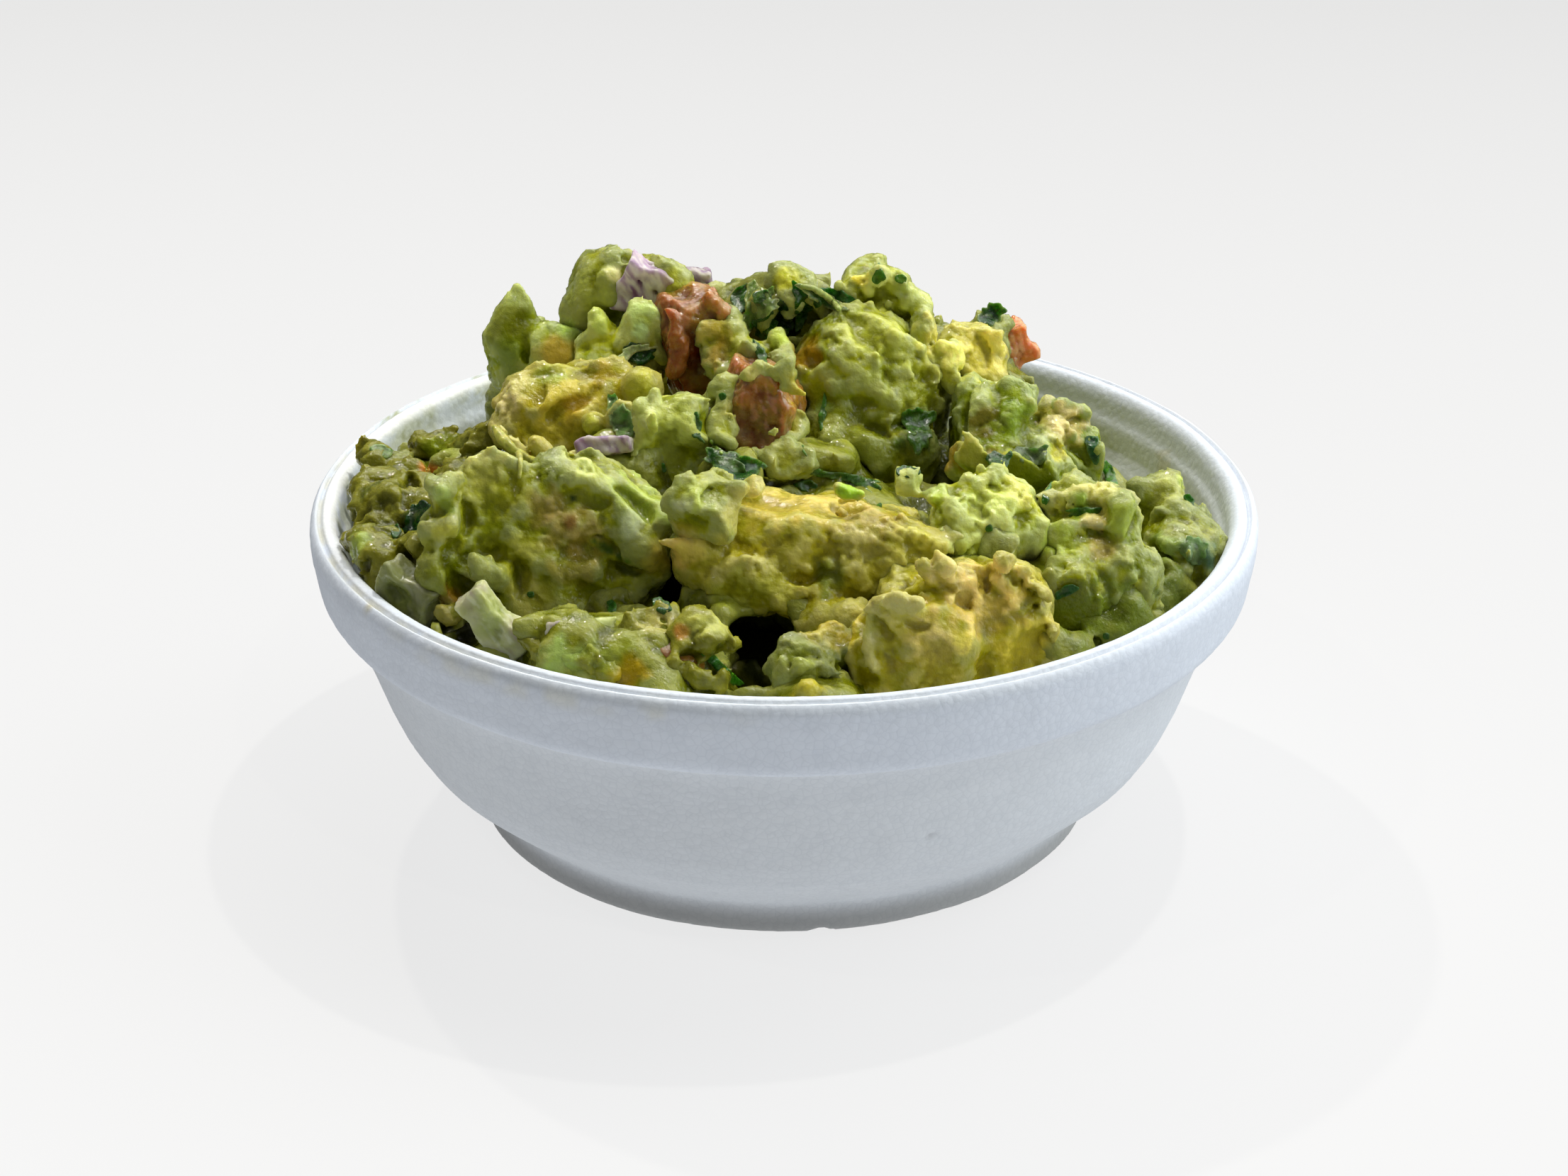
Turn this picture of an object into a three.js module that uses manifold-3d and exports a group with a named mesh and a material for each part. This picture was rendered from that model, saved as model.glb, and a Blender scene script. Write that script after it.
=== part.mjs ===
// Chunky guacamole heaped in a round foam bowl.
// Millimetres, +Z up, origin at the middle of the bowl's foot, on the surface it stands on.
import * as THREE from 'three';
import { mergeVertices } from 'three/addons/utils/BufferGeometryUtils.js';
import Module from 'manifold-3d';

const wasm = await Module();
wasm.setup();

// ---------------------------------------------------------------- driving sizes
const RIM_R = 75;              // outside radius of the lip
const RIM_Z = 51.7;            // top of the lip above the table
const LIP_W = 4.7;             // width of the lip's flat top
const GROOVE_R = 73.2;         // shallow groove in the lip
const GROOVE_D = 0.45;
const COLLAR_BEVEL_Z = 48.4;   // where the lip's roll turns into the collar
const COLLAR_Z = 40.2;         // bottom edge of the collar
const COLLAR_R = 73.6;         // outside radius there
const BODY_TOP = [70.9, 38.9]; // body radius and height just under the collar
const FOOT_R = 50.5;           // foot ring, outside
const FOOT_IN_R = 44.5;        // foot ring, inside
const FOOT_H = 5.7;            // height of the foot's straight part
const RECESS = 1.6;            // hollow inside the foot ring
const WALL = 3.2;              // foam thickness
const FLOOR_Z = 6.2;           // inside floor
const STEP_IN_Z = 41.2;        // inside step at the foot of the collar
const BAND_IN_Z = 46.9;        // fine line inside the collar
const NICK_X = 5.6;            // small nick in the foot's front edge
const NICK_R = 1.55;
const NICK_H = 0.75;
const SEG = 36;                // facets round the bowl
const GAP = 0.32;              // clearance kept between pieces
const HEAP_C = 30;             // height of the heap's centre, from which it is star shaped

// outside of the body, foot to collar: radius, height
const BODY = [[51.2, 6.1], [56.0, 9.9], [60.6, 14.2], [63.6, 19.6], [66.6, 28.2], BODY_TOP];

// ---------------------------------------------------------------- colours
const FOAM = { color: 0xdfe4ea, roughness: 0.75, metalness: 0 };
const MASH = { color: 0x94a03c, roughness: 0.4, metalness: 0 };
const AVO_GREEN = { color: 0x9cab45, roughness: 0.38, metalness: 0 };
const AVO_YELLOW = { color: 0xb9ad4e, roughness: 0.4, metalness: 0 };
const TOMATO = { color: 0xb4512c, roughness: 0.25, metalness: 0 };
const ONION = { color: 0xb7aebb, roughness: 0.3, metalness: 0 };
const ONION_PALE = { color: 0xc6cba6, roughness: 0.3, metalness: 0 };

// ---------------------------------------------------------------- helpers
const deg = Math.PI / 180;

function toSolid(geometry) {
  let g = geometry.clone();
  g.deleteAttribute('normal');
  g.deleteAttribute('uv');
  g = mergeVertices(g, 1e-4);
  return new wasm.Manifold(new wasm.Mesh({
    numProp: 3,
    vertProperties: new Float32Array(g.attributes.position.array),
    triVerts: new Uint32Array(g.index.array),
  }));
}

function toGeometry(solid) {
  const m = solid.getMesh();
  const g = new THREE.BufferGeometry();
  g.setAttribute('position', new THREE.BufferAttribute(new Float32Array(m.vertProperties), 3));
  g.setIndex(new THREE.BufferAttribute(new Uint32Array(m.triVerts), 1));
  g.computeVertexNormals();
  return g;
}

// the largest closed body of a solid that a cut has split
function largest(solid) {
  const parts = solid.decompose();
  parts.sort((a, b) => volumeOf(b) - volumeOf(a));
  return parts[0];
}

function volumeOf(solid) {
  const m = solid.getMesh();
  const v = m.vertProperties, t = m.triVerts;
  let sum = 0;
  for (let i = 0; i < t.length; i += 3) {
    const a = t[i] * 3, b = t[i + 1] * 3, c = t[i + 2] * 3;
    sum += v[a] * (v[b + 1] * v[c + 2] - v[b + 2] * v[c + 1])
         - v[a + 1] * (v[b] * v[c + 2] - v[b + 2] * v[c])
         + v[a + 2] * (v[b] * v[c + 1] - v[b + 1] * v[c]);
  }
  return Math.abs(sum / 6);
}

function lathe(points, segments = SEG) {
  const g = new THREE.LatheGeometry(points.map(([r, z]) => new THREE.Vector2(r, z)), segments);
  g.rotateX(Math.PI / 2);
  return g;
}

// smooth lumpy number between -1 and 1 for a direction and a seed
function lump(x, y, z, seed) {
  const s = seed * 1.37;
  return (Math.sin(2.3 * x + 1.7 * y + s) + Math.sin(2.9 * y - 2.1 * z + 2.1 * s)
        + Math.sin(3.1 * z + 1.9 * x - 1.3 * s) + Math.sin(4.7 * x - 3.9 * y + 4.3 * z + 0.7 * s)) / 4;
}

// ---------------------------------------------------------------- bowl
function offsetInside(points, d) {
  // the same wall line moved in by the foam's thickness, square to the wall
  return points.map((p, i) => {
    const a = points[Math.max(0, i - 1)], b = points[Math.min(points.length - 1, i + 1)];
    const t = new THREE.Vector2(b[0] - a[0], b[1] - a[1]).normalize();
    return [p[0] - d * t.y, p[1] + d * t.x];
  });
}

function bowlSolid() {
  const inside = offsetInside(BODY, WALL).filter(([r, z]) => z > FLOOR_Z + 1.4 && z < STEP_IN_Z - 1.2);
  const profile = [
    [0, RECESS], [FOOT_IN_R - 1, RECESS], [FOOT_IN_R, 0], [FOOT_R - 0.4, 0], [FOOT_R, FOOT_H - 0.4],
    ...BODY,
    [COLLAR_R - 0.9, COLLAR_Z - 0.8], [COLLAR_R, COLLAR_Z],
    [RIM_R, COLLAR_BEVEL_Z], [RIM_R - 0.1, RIM_Z - 1.6], [RIM_R - 0.8, RIM_Z - 0.2],
    [GROOVE_R, RIM_Z - GROOVE_D], [GROOVE_R - 1.1, RIM_Z], [RIM_R - LIP_W + 0.6, RIM_Z - 0.3], [RIM_R - LIP_W - 0.1, RIM_Z - 1.2],
    [RIM_R - LIP_W - 0.7, BAND_IN_Z + 0.5], [RIM_R - LIP_W - 1.4, BAND_IN_Z - 0.5],
    [RIM_R - LIP_W - 1.8, STEP_IN_Z + 0.9], [RIM_R - LIP_W - 3.3, STEP_IN_Z - 0.5],
    ...inside.reverse(),
    [46.5, FLOOR_Z + 1.0], [40, FLOOR_Z], [0, FLOOR_Z],
  ];
  let solid = toSolid(lathe(profile));
  // the nick
  const nick = new THREE.CylinderGeometry(NICK_R, NICK_R, 5, 10);
  nick.scale(1, 1, NICK_H / NICK_R);
  nick.translate(NICK_X, -Math.sqrt(FOOT_R ** 2 - NICK_X ** 2), 0);
  solid = solid.subtract(toSolid(nick));
  return solid;
}

// what the food may fill: the inside of the bowl less the clearance, and the space above it
function cavitySolid() {
  const wall = offsetInside(BODY, WALL).filter(([r, z]) => z > FLOOR_Z + 1.4 && z < STEP_IN_Z - 1.2);
  const profile = [
    [0, FLOOR_Z + GAP], [40 - GAP, FLOOR_Z + GAP], [46.5 - GAP, FLOOR_Z + 1.0 + GAP],
    ...wall.map(([r, z]) => [r - GAP, z + 0.1]),
    [RIM_R - LIP_W - 3.3 - GAP, STEP_IN_Z - 0.5], [RIM_R - LIP_W - 1.8 - GAP, STEP_IN_Z + 1.4],
    [RIM_R - LIP_W - 1.5 - GAP, BAND_IN_Z - 0.5], [RIM_R - LIP_W - 0.8 - GAP, BAND_IN_Z + 2.4], [RIM_R - LIP_W - 0.8 - GAP, 95], [0, 95],
  ];
  return toSolid(lathe(profile));
}

// ---------------------------------------------------------------- pieces
// name, centre, half sizes, turn about X, Y, Z in degrees, squareness, roughness of form,
// facets (0 for dice and slices), look
const CHUNKS = [
  ['avocado_1', [-34.0, -26.0, 53.4], [17.4, 12, 12.6], [-12, 10, 8], 2.7, 0.06, 2, AVO_GREEN],
  ['avocado_2', [2.8, -28.0, 53.4], [20.0, 10.5, 9.4], [-14, 3, -2], 3.0, 0.05, 2, AVO_YELLOW],
  ['avocado_3', [26.2, -42.0, 47.6], [13.4, 9.5, 11.0], [-10, -6, 12], 3.4, 0.05, 2, AVO_YELLOW],
  ['avocado_4', [13.1, 7.0, 64.4], [12.3, 10.5, 15.2], [-16, -8, 10], 2.5, 0.06, 2, AVO_GREEN],
  ['avocado_5', [14.6, 18.0, 77.0], [8.2, 7, 7.2], [0, 16, 0], 2.3, 0.08, 1, AVO_GREEN],
  ['avocado_6', [33.4, 2.0, 60.6], [8.3, 8, 9.4], [-8, 8, 20], 2.6, 0.08, 1, AVO_GREEN],
  ['avocado_7', [45.6, -22.5, 52.2], [9.6, 8.6, 9.4], [-6, 0, 24], 3.2, 0.06, 1, AVO_GREEN],
  ['avocado_8', [59.2, -8.0, 47.8], [6.8, 8, 8.8], [0, 6, 14], 2.7, 0.07, 1, AVO_GREEN],
  ['avocado_9', [-33.3, 4.0, 62.2], [13.2, 8.8, 9.0], [-18, -8, 6], 3.0, 0.06, 1, AVO_YELLOW],
  ['avocado_10', [-17.4, -8.0, 62.2], [6.2, 6, 8.6], [-8, 2, 0], 3.0, 0.06, 1, AVO_GREEN],
  ['avocado_11', [-29.6, 26.0, 75.6], [6.6, 6.6, 8.3], [0, 10, 0], 2.4, 0.05, 1, AVO_GREEN],
  ['avocado_12', [-41.4, 24.0, 67.6], [6.6, 5.2, 9.6], [0, -4, 0], 2.1, 0.05, 1, AVO_GREEN],
  ['avocado_13', [4.0, -53.0, 46.2], [7.8, 6, 6.3], [0, 0, 0], 2.6, 0.07, 1, AVO_GREEN],
  ['avocado_14', [-11.9, -33.0, 64.2], [5.2, 4.8, 4.8], [0, 8, 10], 2.8, 0.06, 1, AVO_GREEN],
  ['avocado_15', [31.0, -25.0, 57.4], [7.6, 6.6, 7.2], [0, 0, -14], 2.5, 0.08, 1, AVO_GREEN],
  ['avocado_16', [30.4, 14.5, 68.4], [6.6, 6, 5.6], [0, 6, 12], 3.0, 0.06, 1, AVO_YELLOW],
  ['avocado_17', [0.0, 33.0, 67.0], [11.5, 8.5, 8.0], [14, 6, 10], 2.8, 0.06, 1, AVO_GREEN],
  ['avocado_18', [22.0, 38.0, 58.0], [10.0, 8.0, 9.0], [18, 0, -16], 2.6, 0.07, 1, AVO_GREEN],
  ['avocado_19', [-22.0, 43.0, 58.0], [9.0, 7.5, 8.5], [20, -8, 14], 3.0, 0.06, 1, AVO_YELLOW],
  ['avocado_20', [-44.0, 36.0, 52.0], [8.0, 7.0, 7.0], [8, -10, 30], 2.7, 0.07, 1, AVO_GREEN],
  ['avocado_21', [2.0, 53.0, 48.5], [11.0, 7.5, 7.5], [20, 4, -6], 2.9, 0.06, 1, AVO_GREEN],
  ['tomato_1', [-13.8, 13.0, 71.2], [5.6, 5.4, 8.4], [0, -16, 18], 5.0, 0.04, 0, TOMATO],
  ['tomato_2', [-4.0, -4.0, 66.6], [6.2, 5.6, 7.2], [-8, 8, -12], 5.0, 0.05, 0, TOMATO],
  ['tomato_3', [39.3, 29.0, 65.6], [3.0, 3.0, 3.9], [0, -24, 20], 5.0, 0.03, 0, TOMATO],
  ['tomato_4', [-15.8, -54.6, 48.2], [3.4, 3.2, 3.4], [0, 20, 10], 5.0, 0.04, 0, TOMATO],
  ['onion_1', [-22.4, 19.6, 79.2], [5.0, 1.9, 6.4], [6, 26, -8], 5.0, 0.04, 0, ONION],
  ['onion_2', [-41.6, -48.6, 51.6], [6.0, 2.0, 2.7], [0, 48, -18], 5.0, 0.03, 0, ONION_PALE],
  ['onion_3', [-55.2, -37.6, 51.0], [4.9, 2.6, 4.0], [0, 22, -30], 5.0, 0.05, 0, ONION_PALE],
  ['onion_4', [-27.4, -15.4, 65.2], [4.4, 2.8, 1.3], [-24, -6, 0], 5.0, 0.03, 0, ONION],
  ['onion_5', [-29.3, -51.6, 52.4], [5.6, 2.4, 1.3], [-20, 4, 6], 5.0, 0.03, 0, ONION_PALE],
  ['tomato_5', [-12.0, 46.0, 58.0], [4.4, 4.2, 5.0], [20, 10, 30], 5.0, 0.04, 0, TOMATO],
  ['onion_6', [-14.5, 30.0, 75.6], [2.7, 2.0, 2.4], [0, 0, 0], 5.0, 0.03, 0, ONION],
];

// a rounded block of uneven form; grow swells it evenly
function blockGeometry([name, centre, half, turn, p, rough, detail], grow = 0) {
  const seed = name.length * 3 + name.charCodeAt(name.length - 1) + name.charCodeAt(0);
  const g = detail ? new THREE.IcosahedronGeometry(1, detail) : new THREE.BoxGeometry(2, 2, 2, 2, 2, 2);
  const pos = g.attributes.position;
  const d = new THREE.Vector3();
  const turnTo = new THREE.Euler(turn[0] * deg, turn[1] * deg, turn[2] * deg, 'ZYX');
  for (let i = 0; i < pos.count; i++) {
    d.fromBufferAttribute(pos, i).normalize();
    const k = Math.abs(d.x / half[0]) ** p + Math.abs(d.y / half[1]) ** p + Math.abs(d.z / half[2]) ** p;
    let r = k ** (-1 / p) * (1 + rough * lump(d.x * 1.6, d.y * 1.6, d.z * 1.6, seed));
    r += grow * 1.25;
    d.multiplyScalar(r).applyEuler(turnTo);
    pos.setXYZ(i, d.x + centre[0], d.y + centre[1], d.z + centre[2]);
  }
  return g;
}

// ---------------------------------------------------------------- the heap
// lumps of mash between the pieces: centre and radius
const MASH_LUMPS = [
  [-24, 15, 66, 7], [-6, 22, 71, 8], [1, 15, 76, 7.5], [14, 14, 70, 9], [24, 20, 65, 8], [35, 24, 59, 6],
  [44, 8, 51, 8], [50, 6, 47, 6], [-57, -14, 47, 8], [-60, 4, 47, 8], [-54, 10, 49, 8], [-50, 2, 52, 7],
  [-58, 20, 46, 7], [-30, -51, 47.5, 8.5], [-20, -55, 46, 8], [-45, -45, 45, 7.5], [-57, -27, 45, 8], [15, -53, 46, 7.5],
  [-7, -54, 42, 7], [4, -60, 42, 8], [-17, -59, 43, 7], [26, -57, 42, 7], [34, -34, 52, 8], [40, -44, 44, 7], [48, -34, 45, 8], [56, -22, 43, 7], [-8, -18, 61, 7], [6, -10, 61, 8], [-24, -11, 59, 8], [9, -30, 60, 5],
];

function domeTop(x, y) {
  // level of the mash without its lumps: a broad steep mound, lower at the back right
  const r = Math.hypot(x, y);
  const side = (x * 0.62 + y * 0.78) / 70;
  const edge = 40.2 - 2.4 * side;
  const t = Math.max(0, 1 - (r / 66) ** 2);
  return edge + (23.5 - 1.5 * side) * t ** 1.15 + 0.9 * lump(x / 9, y / 9, 0.4, 5);
}

// every lump and the bed under every piece, as balls seen from the heap's centre
const BALLS = [
  ...MASH_LUMPS,
  ...CHUNKS.map(([, c, h]) => [c[0] * 0.97, c[1] * 0.97, c[2] - 1.5, 0.86 * Math.cbrt(h[0] * h[1] * h[2])]),
].map(([x, y, z, r]) => ({ c: new THREE.Vector3(x, y, z - HEAP_C), r }));

function heapGeometry() {
  const wall = offsetInside(BODY, WALL).filter(([r, z]) => z > FLOOR_Z + 1.4 && z < STEP_IN_Z - 1.2);
  const line = [[0, FLOOR_Z], [40, FLOOR_Z], [46.5, FLOOR_Z + 1.0], ...wall, [RIM_R - LIP_W - 3.3, STEP_IN_Z - 0.5], [RIM_R - LIP_W - 3.3, 95]]
    .map(([r, z]) => [Math.max(0, r - GAP * 1.15), z < 8 ? z + GAP * 1.15 : z]);
  // how far the wall is from the heap's centre at an angle down from straight up
  function wallAt(theta) {
    const s = Math.sin(theta), c = Math.cos(theta);
    let best = 200;
    for (let i = 0; i + 1 < line.length; i++) {
      const [r0, z0] = line[i], [r1, z1] = line[i + 1];
      const ex = r1 - r0, ez = z1 - z0;
      const det = s * -ez + c * ex;
      if (Math.abs(det) < 1e-9) continue;
      const bx = r0, bz = z0 - HEAP_C;
      const t = (bx * -ez + bz * ex) / det;
      const u = (s * bz - c * bx) / det;
      if (t > 0 && u >= -1e-6 && u <= 1 + 1e-6) best = Math.min(best, t);
    }
    return best;
  }
  const TOP_RINGS = 13, LOW_RINGS = 5, TOP_END = 82;
  const angles = [];
  for (let i = 1; i <= TOP_RINGS; i++) angles.push(i * TOP_END / TOP_RINGS * deg);
  for (let i = 1; i < LOW_RINGS; i++) angles.push((TOP_END + i * (180 - TOP_END) / LOW_RINGS) * deg);
  const d = new THREE.Vector3();
  const radial = (theta, phi) => {
    const limit = wallAt(theta);
    if (theta > (TOP_END + 1) * deg) return limit;
    d.set(Math.sin(theta) * Math.cos(phi), Math.sin(theta) * Math.sin(phi), Math.cos(theta));
    let r0 = Math.min(limit, 60);
    while (r0 > 5 && HEAP_C + r0 * d.z > domeTop(r0 * d.x, r0 * d.y)) r0 -= 0.1;
    // the balls swell out of the mound and flow into it
    const K = 0.7;
    let sum = 1;
    for (const ball of BALLS) {
      const along = ball.c.dot(d);
      if (along <= 0) continue;
      const off = Math.sqrt(Math.max(0, ball.c.lengthSq() - along * along));
      const reach = off < ball.r ? along + Math.sqrt(ball.r * ball.r - off * off) : along - 1.6 * (off - ball.r);
      sum += Math.exp(K * Math.min(60, reach - r0));
    }
    return Math.min(limit, r0 + Math.log(sum) / K);
  };
  const verts = [], tris = [];
  const put = (r, theta, phi) => verts.push(r * Math.sin(theta) * Math.cos(phi), r * Math.sin(theta) * Math.sin(phi), HEAP_C + r * Math.cos(theta));
  put(radial(0, 0), 0, 0);
  for (const theta of angles) {
    for (let j = 0; j < SEG; j++) {
      const phi = j * 2 * Math.PI / SEG;
      put(radial(theta, phi), theta, phi);
    }
  }
  put(wallAt(Math.PI - 1e-6), Math.PI, 0);
  const ring = (i, j) => 1 + i * SEG + (j % SEG);
  const last = verts.length / 3 - 1;
  for (let j = 0; j < SEG; j++) {
    tris.push(0, ring(0, j), ring(0, j + 1));
    for (let i = 0; i + 1 < angles.length; i++) {
      const a = ring(i, j), b = ring(i, j + 1), c = ring(i + 1, j), e = ring(i + 1, j + 1);
      tris.push(a, c, e, a, e, b);
    }
    tris.push(last, ring(angles.length - 1, j + 1), ring(angles.length - 1, j));
  }
  const g = new THREE.BufferGeometry();
  g.setAttribute('position', new THREE.BufferAttribute(new Float32Array(verts), 3));
  g.setIndex(tris);
  return g;
}

// ---------------------------------------------------------------- assembly
const group = new THREE.Group();
function addMesh(name, geometry, look) {
  const mesh = new THREE.Mesh(geometry, new THREE.MeshStandardMaterial(look));
  mesh.name = name;
  group.add(mesh);
}

addMesh('bowl', toGeometry(bowlSolid()), FOAM);

const cavity = cavitySolid();
let heap = toSolid(heapGeometry());
// small toppings are cut into the avocado they lie on, and every piece is cut into the mash
const order = [...CHUNKS].sort((a, b) => (a[2][0] * a[2][1] * a[2][2]) - (b[2][0] * b[2][1] * b[2][2]));
const placed = [];
for (const chunk of order) {
  let solid = toSolid(blockGeometry(chunk)).intersect(cavity);
  for (const other of placed) solid = solid.subtract(toSolid(blockGeometry(other, GAP)));
  solid = largest(solid);
  placed.push(chunk);
  heap = heap.subtract(toSolid(blockGeometry(chunk, GAP)));
  chunk.solid = solid;
}
addMesh('guacamole', toGeometry(largest(heap)), MASH);
for (const chunk of CHUNKS) addMesh(chunk[0], toGeometry(chunk.solid), chunk[7]);

export default group;
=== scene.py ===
import json
import math
import time

import bpy
import numpy as np
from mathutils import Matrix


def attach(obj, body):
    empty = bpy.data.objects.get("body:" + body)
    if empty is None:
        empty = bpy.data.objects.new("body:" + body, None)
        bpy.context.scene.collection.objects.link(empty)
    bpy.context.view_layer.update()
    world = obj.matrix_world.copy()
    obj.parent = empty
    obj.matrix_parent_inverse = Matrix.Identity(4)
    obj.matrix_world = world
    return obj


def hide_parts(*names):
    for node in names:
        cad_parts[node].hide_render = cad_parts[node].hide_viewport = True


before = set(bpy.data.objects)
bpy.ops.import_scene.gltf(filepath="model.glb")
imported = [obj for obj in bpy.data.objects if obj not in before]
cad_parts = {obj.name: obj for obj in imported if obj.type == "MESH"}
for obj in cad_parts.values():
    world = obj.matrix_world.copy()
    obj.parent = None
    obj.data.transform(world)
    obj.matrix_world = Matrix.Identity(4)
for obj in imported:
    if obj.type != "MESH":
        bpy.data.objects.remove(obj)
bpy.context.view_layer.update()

import openvdb
from mathutils import Euler, Vector
from mathutils.geometry import delaunay_2d_cdt

# Chunky guacamole heaped in a white foam bowl. Everything below is worked out in
# millimetres (X right, Y away from the viewer, Z up, origin under the bowl) and
# turned into metres when a mesh is made. The food is built as distance fields,
# one for each chunk, on which curds, folds, pits and grains are stamped.
T0 = time.time()
scene = bpy.context.scene
BODY = "root"


def stamp_time(what):
    print("%6.1f s  %s" % (time.time() - T0, what), flush=True)


# ---------------------------------------------------------------- numbers
def lin(c):
    """sRGB 0-255 to linear 0-1."""
    c = np.asarray(c, float) / 255.0
    return np.where(c <= 0.04045, c / 12.92, ((c + 0.055) / 1.055) ** 2.4)


def smooth(a, b, x):
    t = np.clip((x - a) / (b - a), 0.0, 1.0)
    return t * t * (3 - 2 * t)


def mix(a, b, t):
    return a + (b - a) * t


NV = 128


def band_noise(seed, wave):
    r = np.random.default_rng(seed)
    f = np.fft.rfftn(r.standard_normal((NV, NV, NV)))
    a, b = np.fft.fftfreq(NV), np.fft.rfftfreq(NV)
    k = np.sqrt(a[:, None, None] ** 2 + a[None, :, None] ** 2 + b[None, None, :] ** 2)
    v = np.fft.irfftn(f * np.exp(-(((k - 1 / wave) * wave / 0.42) ** 2)), s=(NV,) * 3)
    return (v / v.std()).astype(np.float32)


VOL = band_noise(5, 10.0).ravel()


def noise(P, lam, seed=0, stretch=None):
    """Smooth noise with bumps lam mm apart, mostly within -1..1."""
    r = np.random.default_rng(1000 + seed)
    q = np.linalg.qr(r.standard_normal((3, 3)))[0].astype(np.float32)
    P = np.asarray(P, np.float32).reshape(-1, 3)
    if stretch is not None:
        P = P @ np.asarray(stretch, np.float32)
    Q = (P @ q) * np.float32(10.0 / lam) + r.uniform(0, NV, 3).astype(np.float32)
    i = np.floor(Q)
    f = Q - i
    i = i.astype(np.int32) & (NV - 1)
    j = (i + 1) & (NV - 1)
    x0, x1 = i[:, 0] * (NV * NV), j[:, 0] * (NV * NV)
    y0, y1 = i[:, 1] * NV, j[:, 1] * NV
    z0, z1 = i[:, 2], j[:, 2]
    fx, fy, fz = f[:, 0], f[:, 1], f[:, 2]
    a = VOL[x0 + y0 + z0] * (1 - fz) + VOL[x0 + y0 + z1] * fz
    b = VOL[x0 + y1 + z0] * (1 - fz) + VOL[x0 + y1 + z1] * fz
    a += (b - a) * fy
    c = VOL[x1 + y0 + z0] * (1 - fz) + VOL[x1 + y0 + z1] * fz
    b = VOL[x1 + y1 + z0] * (1 - fz) + VOL[x1 + y1 + z1] * fz
    c += (b - c) * fy
    return (a + (c - a) * fx) * 0.5


def rot(turn):
    return np.array(Euler([math.radians(a) for a in turn], "XYZ").to_matrix(), np.float32)


# the camera's place, which the pieces that are set one by one use too
CAM = np.array([0.0, -434.14, 238.97])
PITCH = math.radians(64.75)
FOCAL = 4187.0
SIDE = np.ones(3)      # turned about for the pieces on the far side


def ray(u, v):
    x, y = (u - 1106.0) / FOCAL, -(v - 829.5) / FOCAL
    s, c = math.sin(PITCH), math.cos(PITCH)
    d = np.array([x, y * c + s, y * s - c])
    return d * SIDE / np.linalg.norm(d)


def at(u, v, y):
    """The point at depth y on the line of sight."""
    d = ray(u, v)
    return CAM + d * ((y - CAM[1]) / d[1])


# ---------------------------------------------------------------- distance fields
def smin(a, b, k):
    t = np.clip(0.5 + 0.5 * (b - a) / k, 0.0, 1.0)
    return b + (a - b) * t - k * t * (1 - t)


def box_blur(a, m):
    a = a.astype(np.float32)
    for ax in range(3):
        p = [(0, 0)] * 3
        p[ax] = (m + 1, m)
        c = np.cumsum(np.pad(a, p, mode="edge"), axis=ax, dtype=np.float64)
        hi = [slice(None)] * 3
        lo = [slice(None)] * 3
        hi[ax] = slice(2 * m + 1, None)
        lo[ax] = slice(0, -(2 * m + 1))
        a = ((c[tuple(hi)] - c[tuple(lo)]) / (2 * m + 1)).astype(np.float32)
    return a


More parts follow.
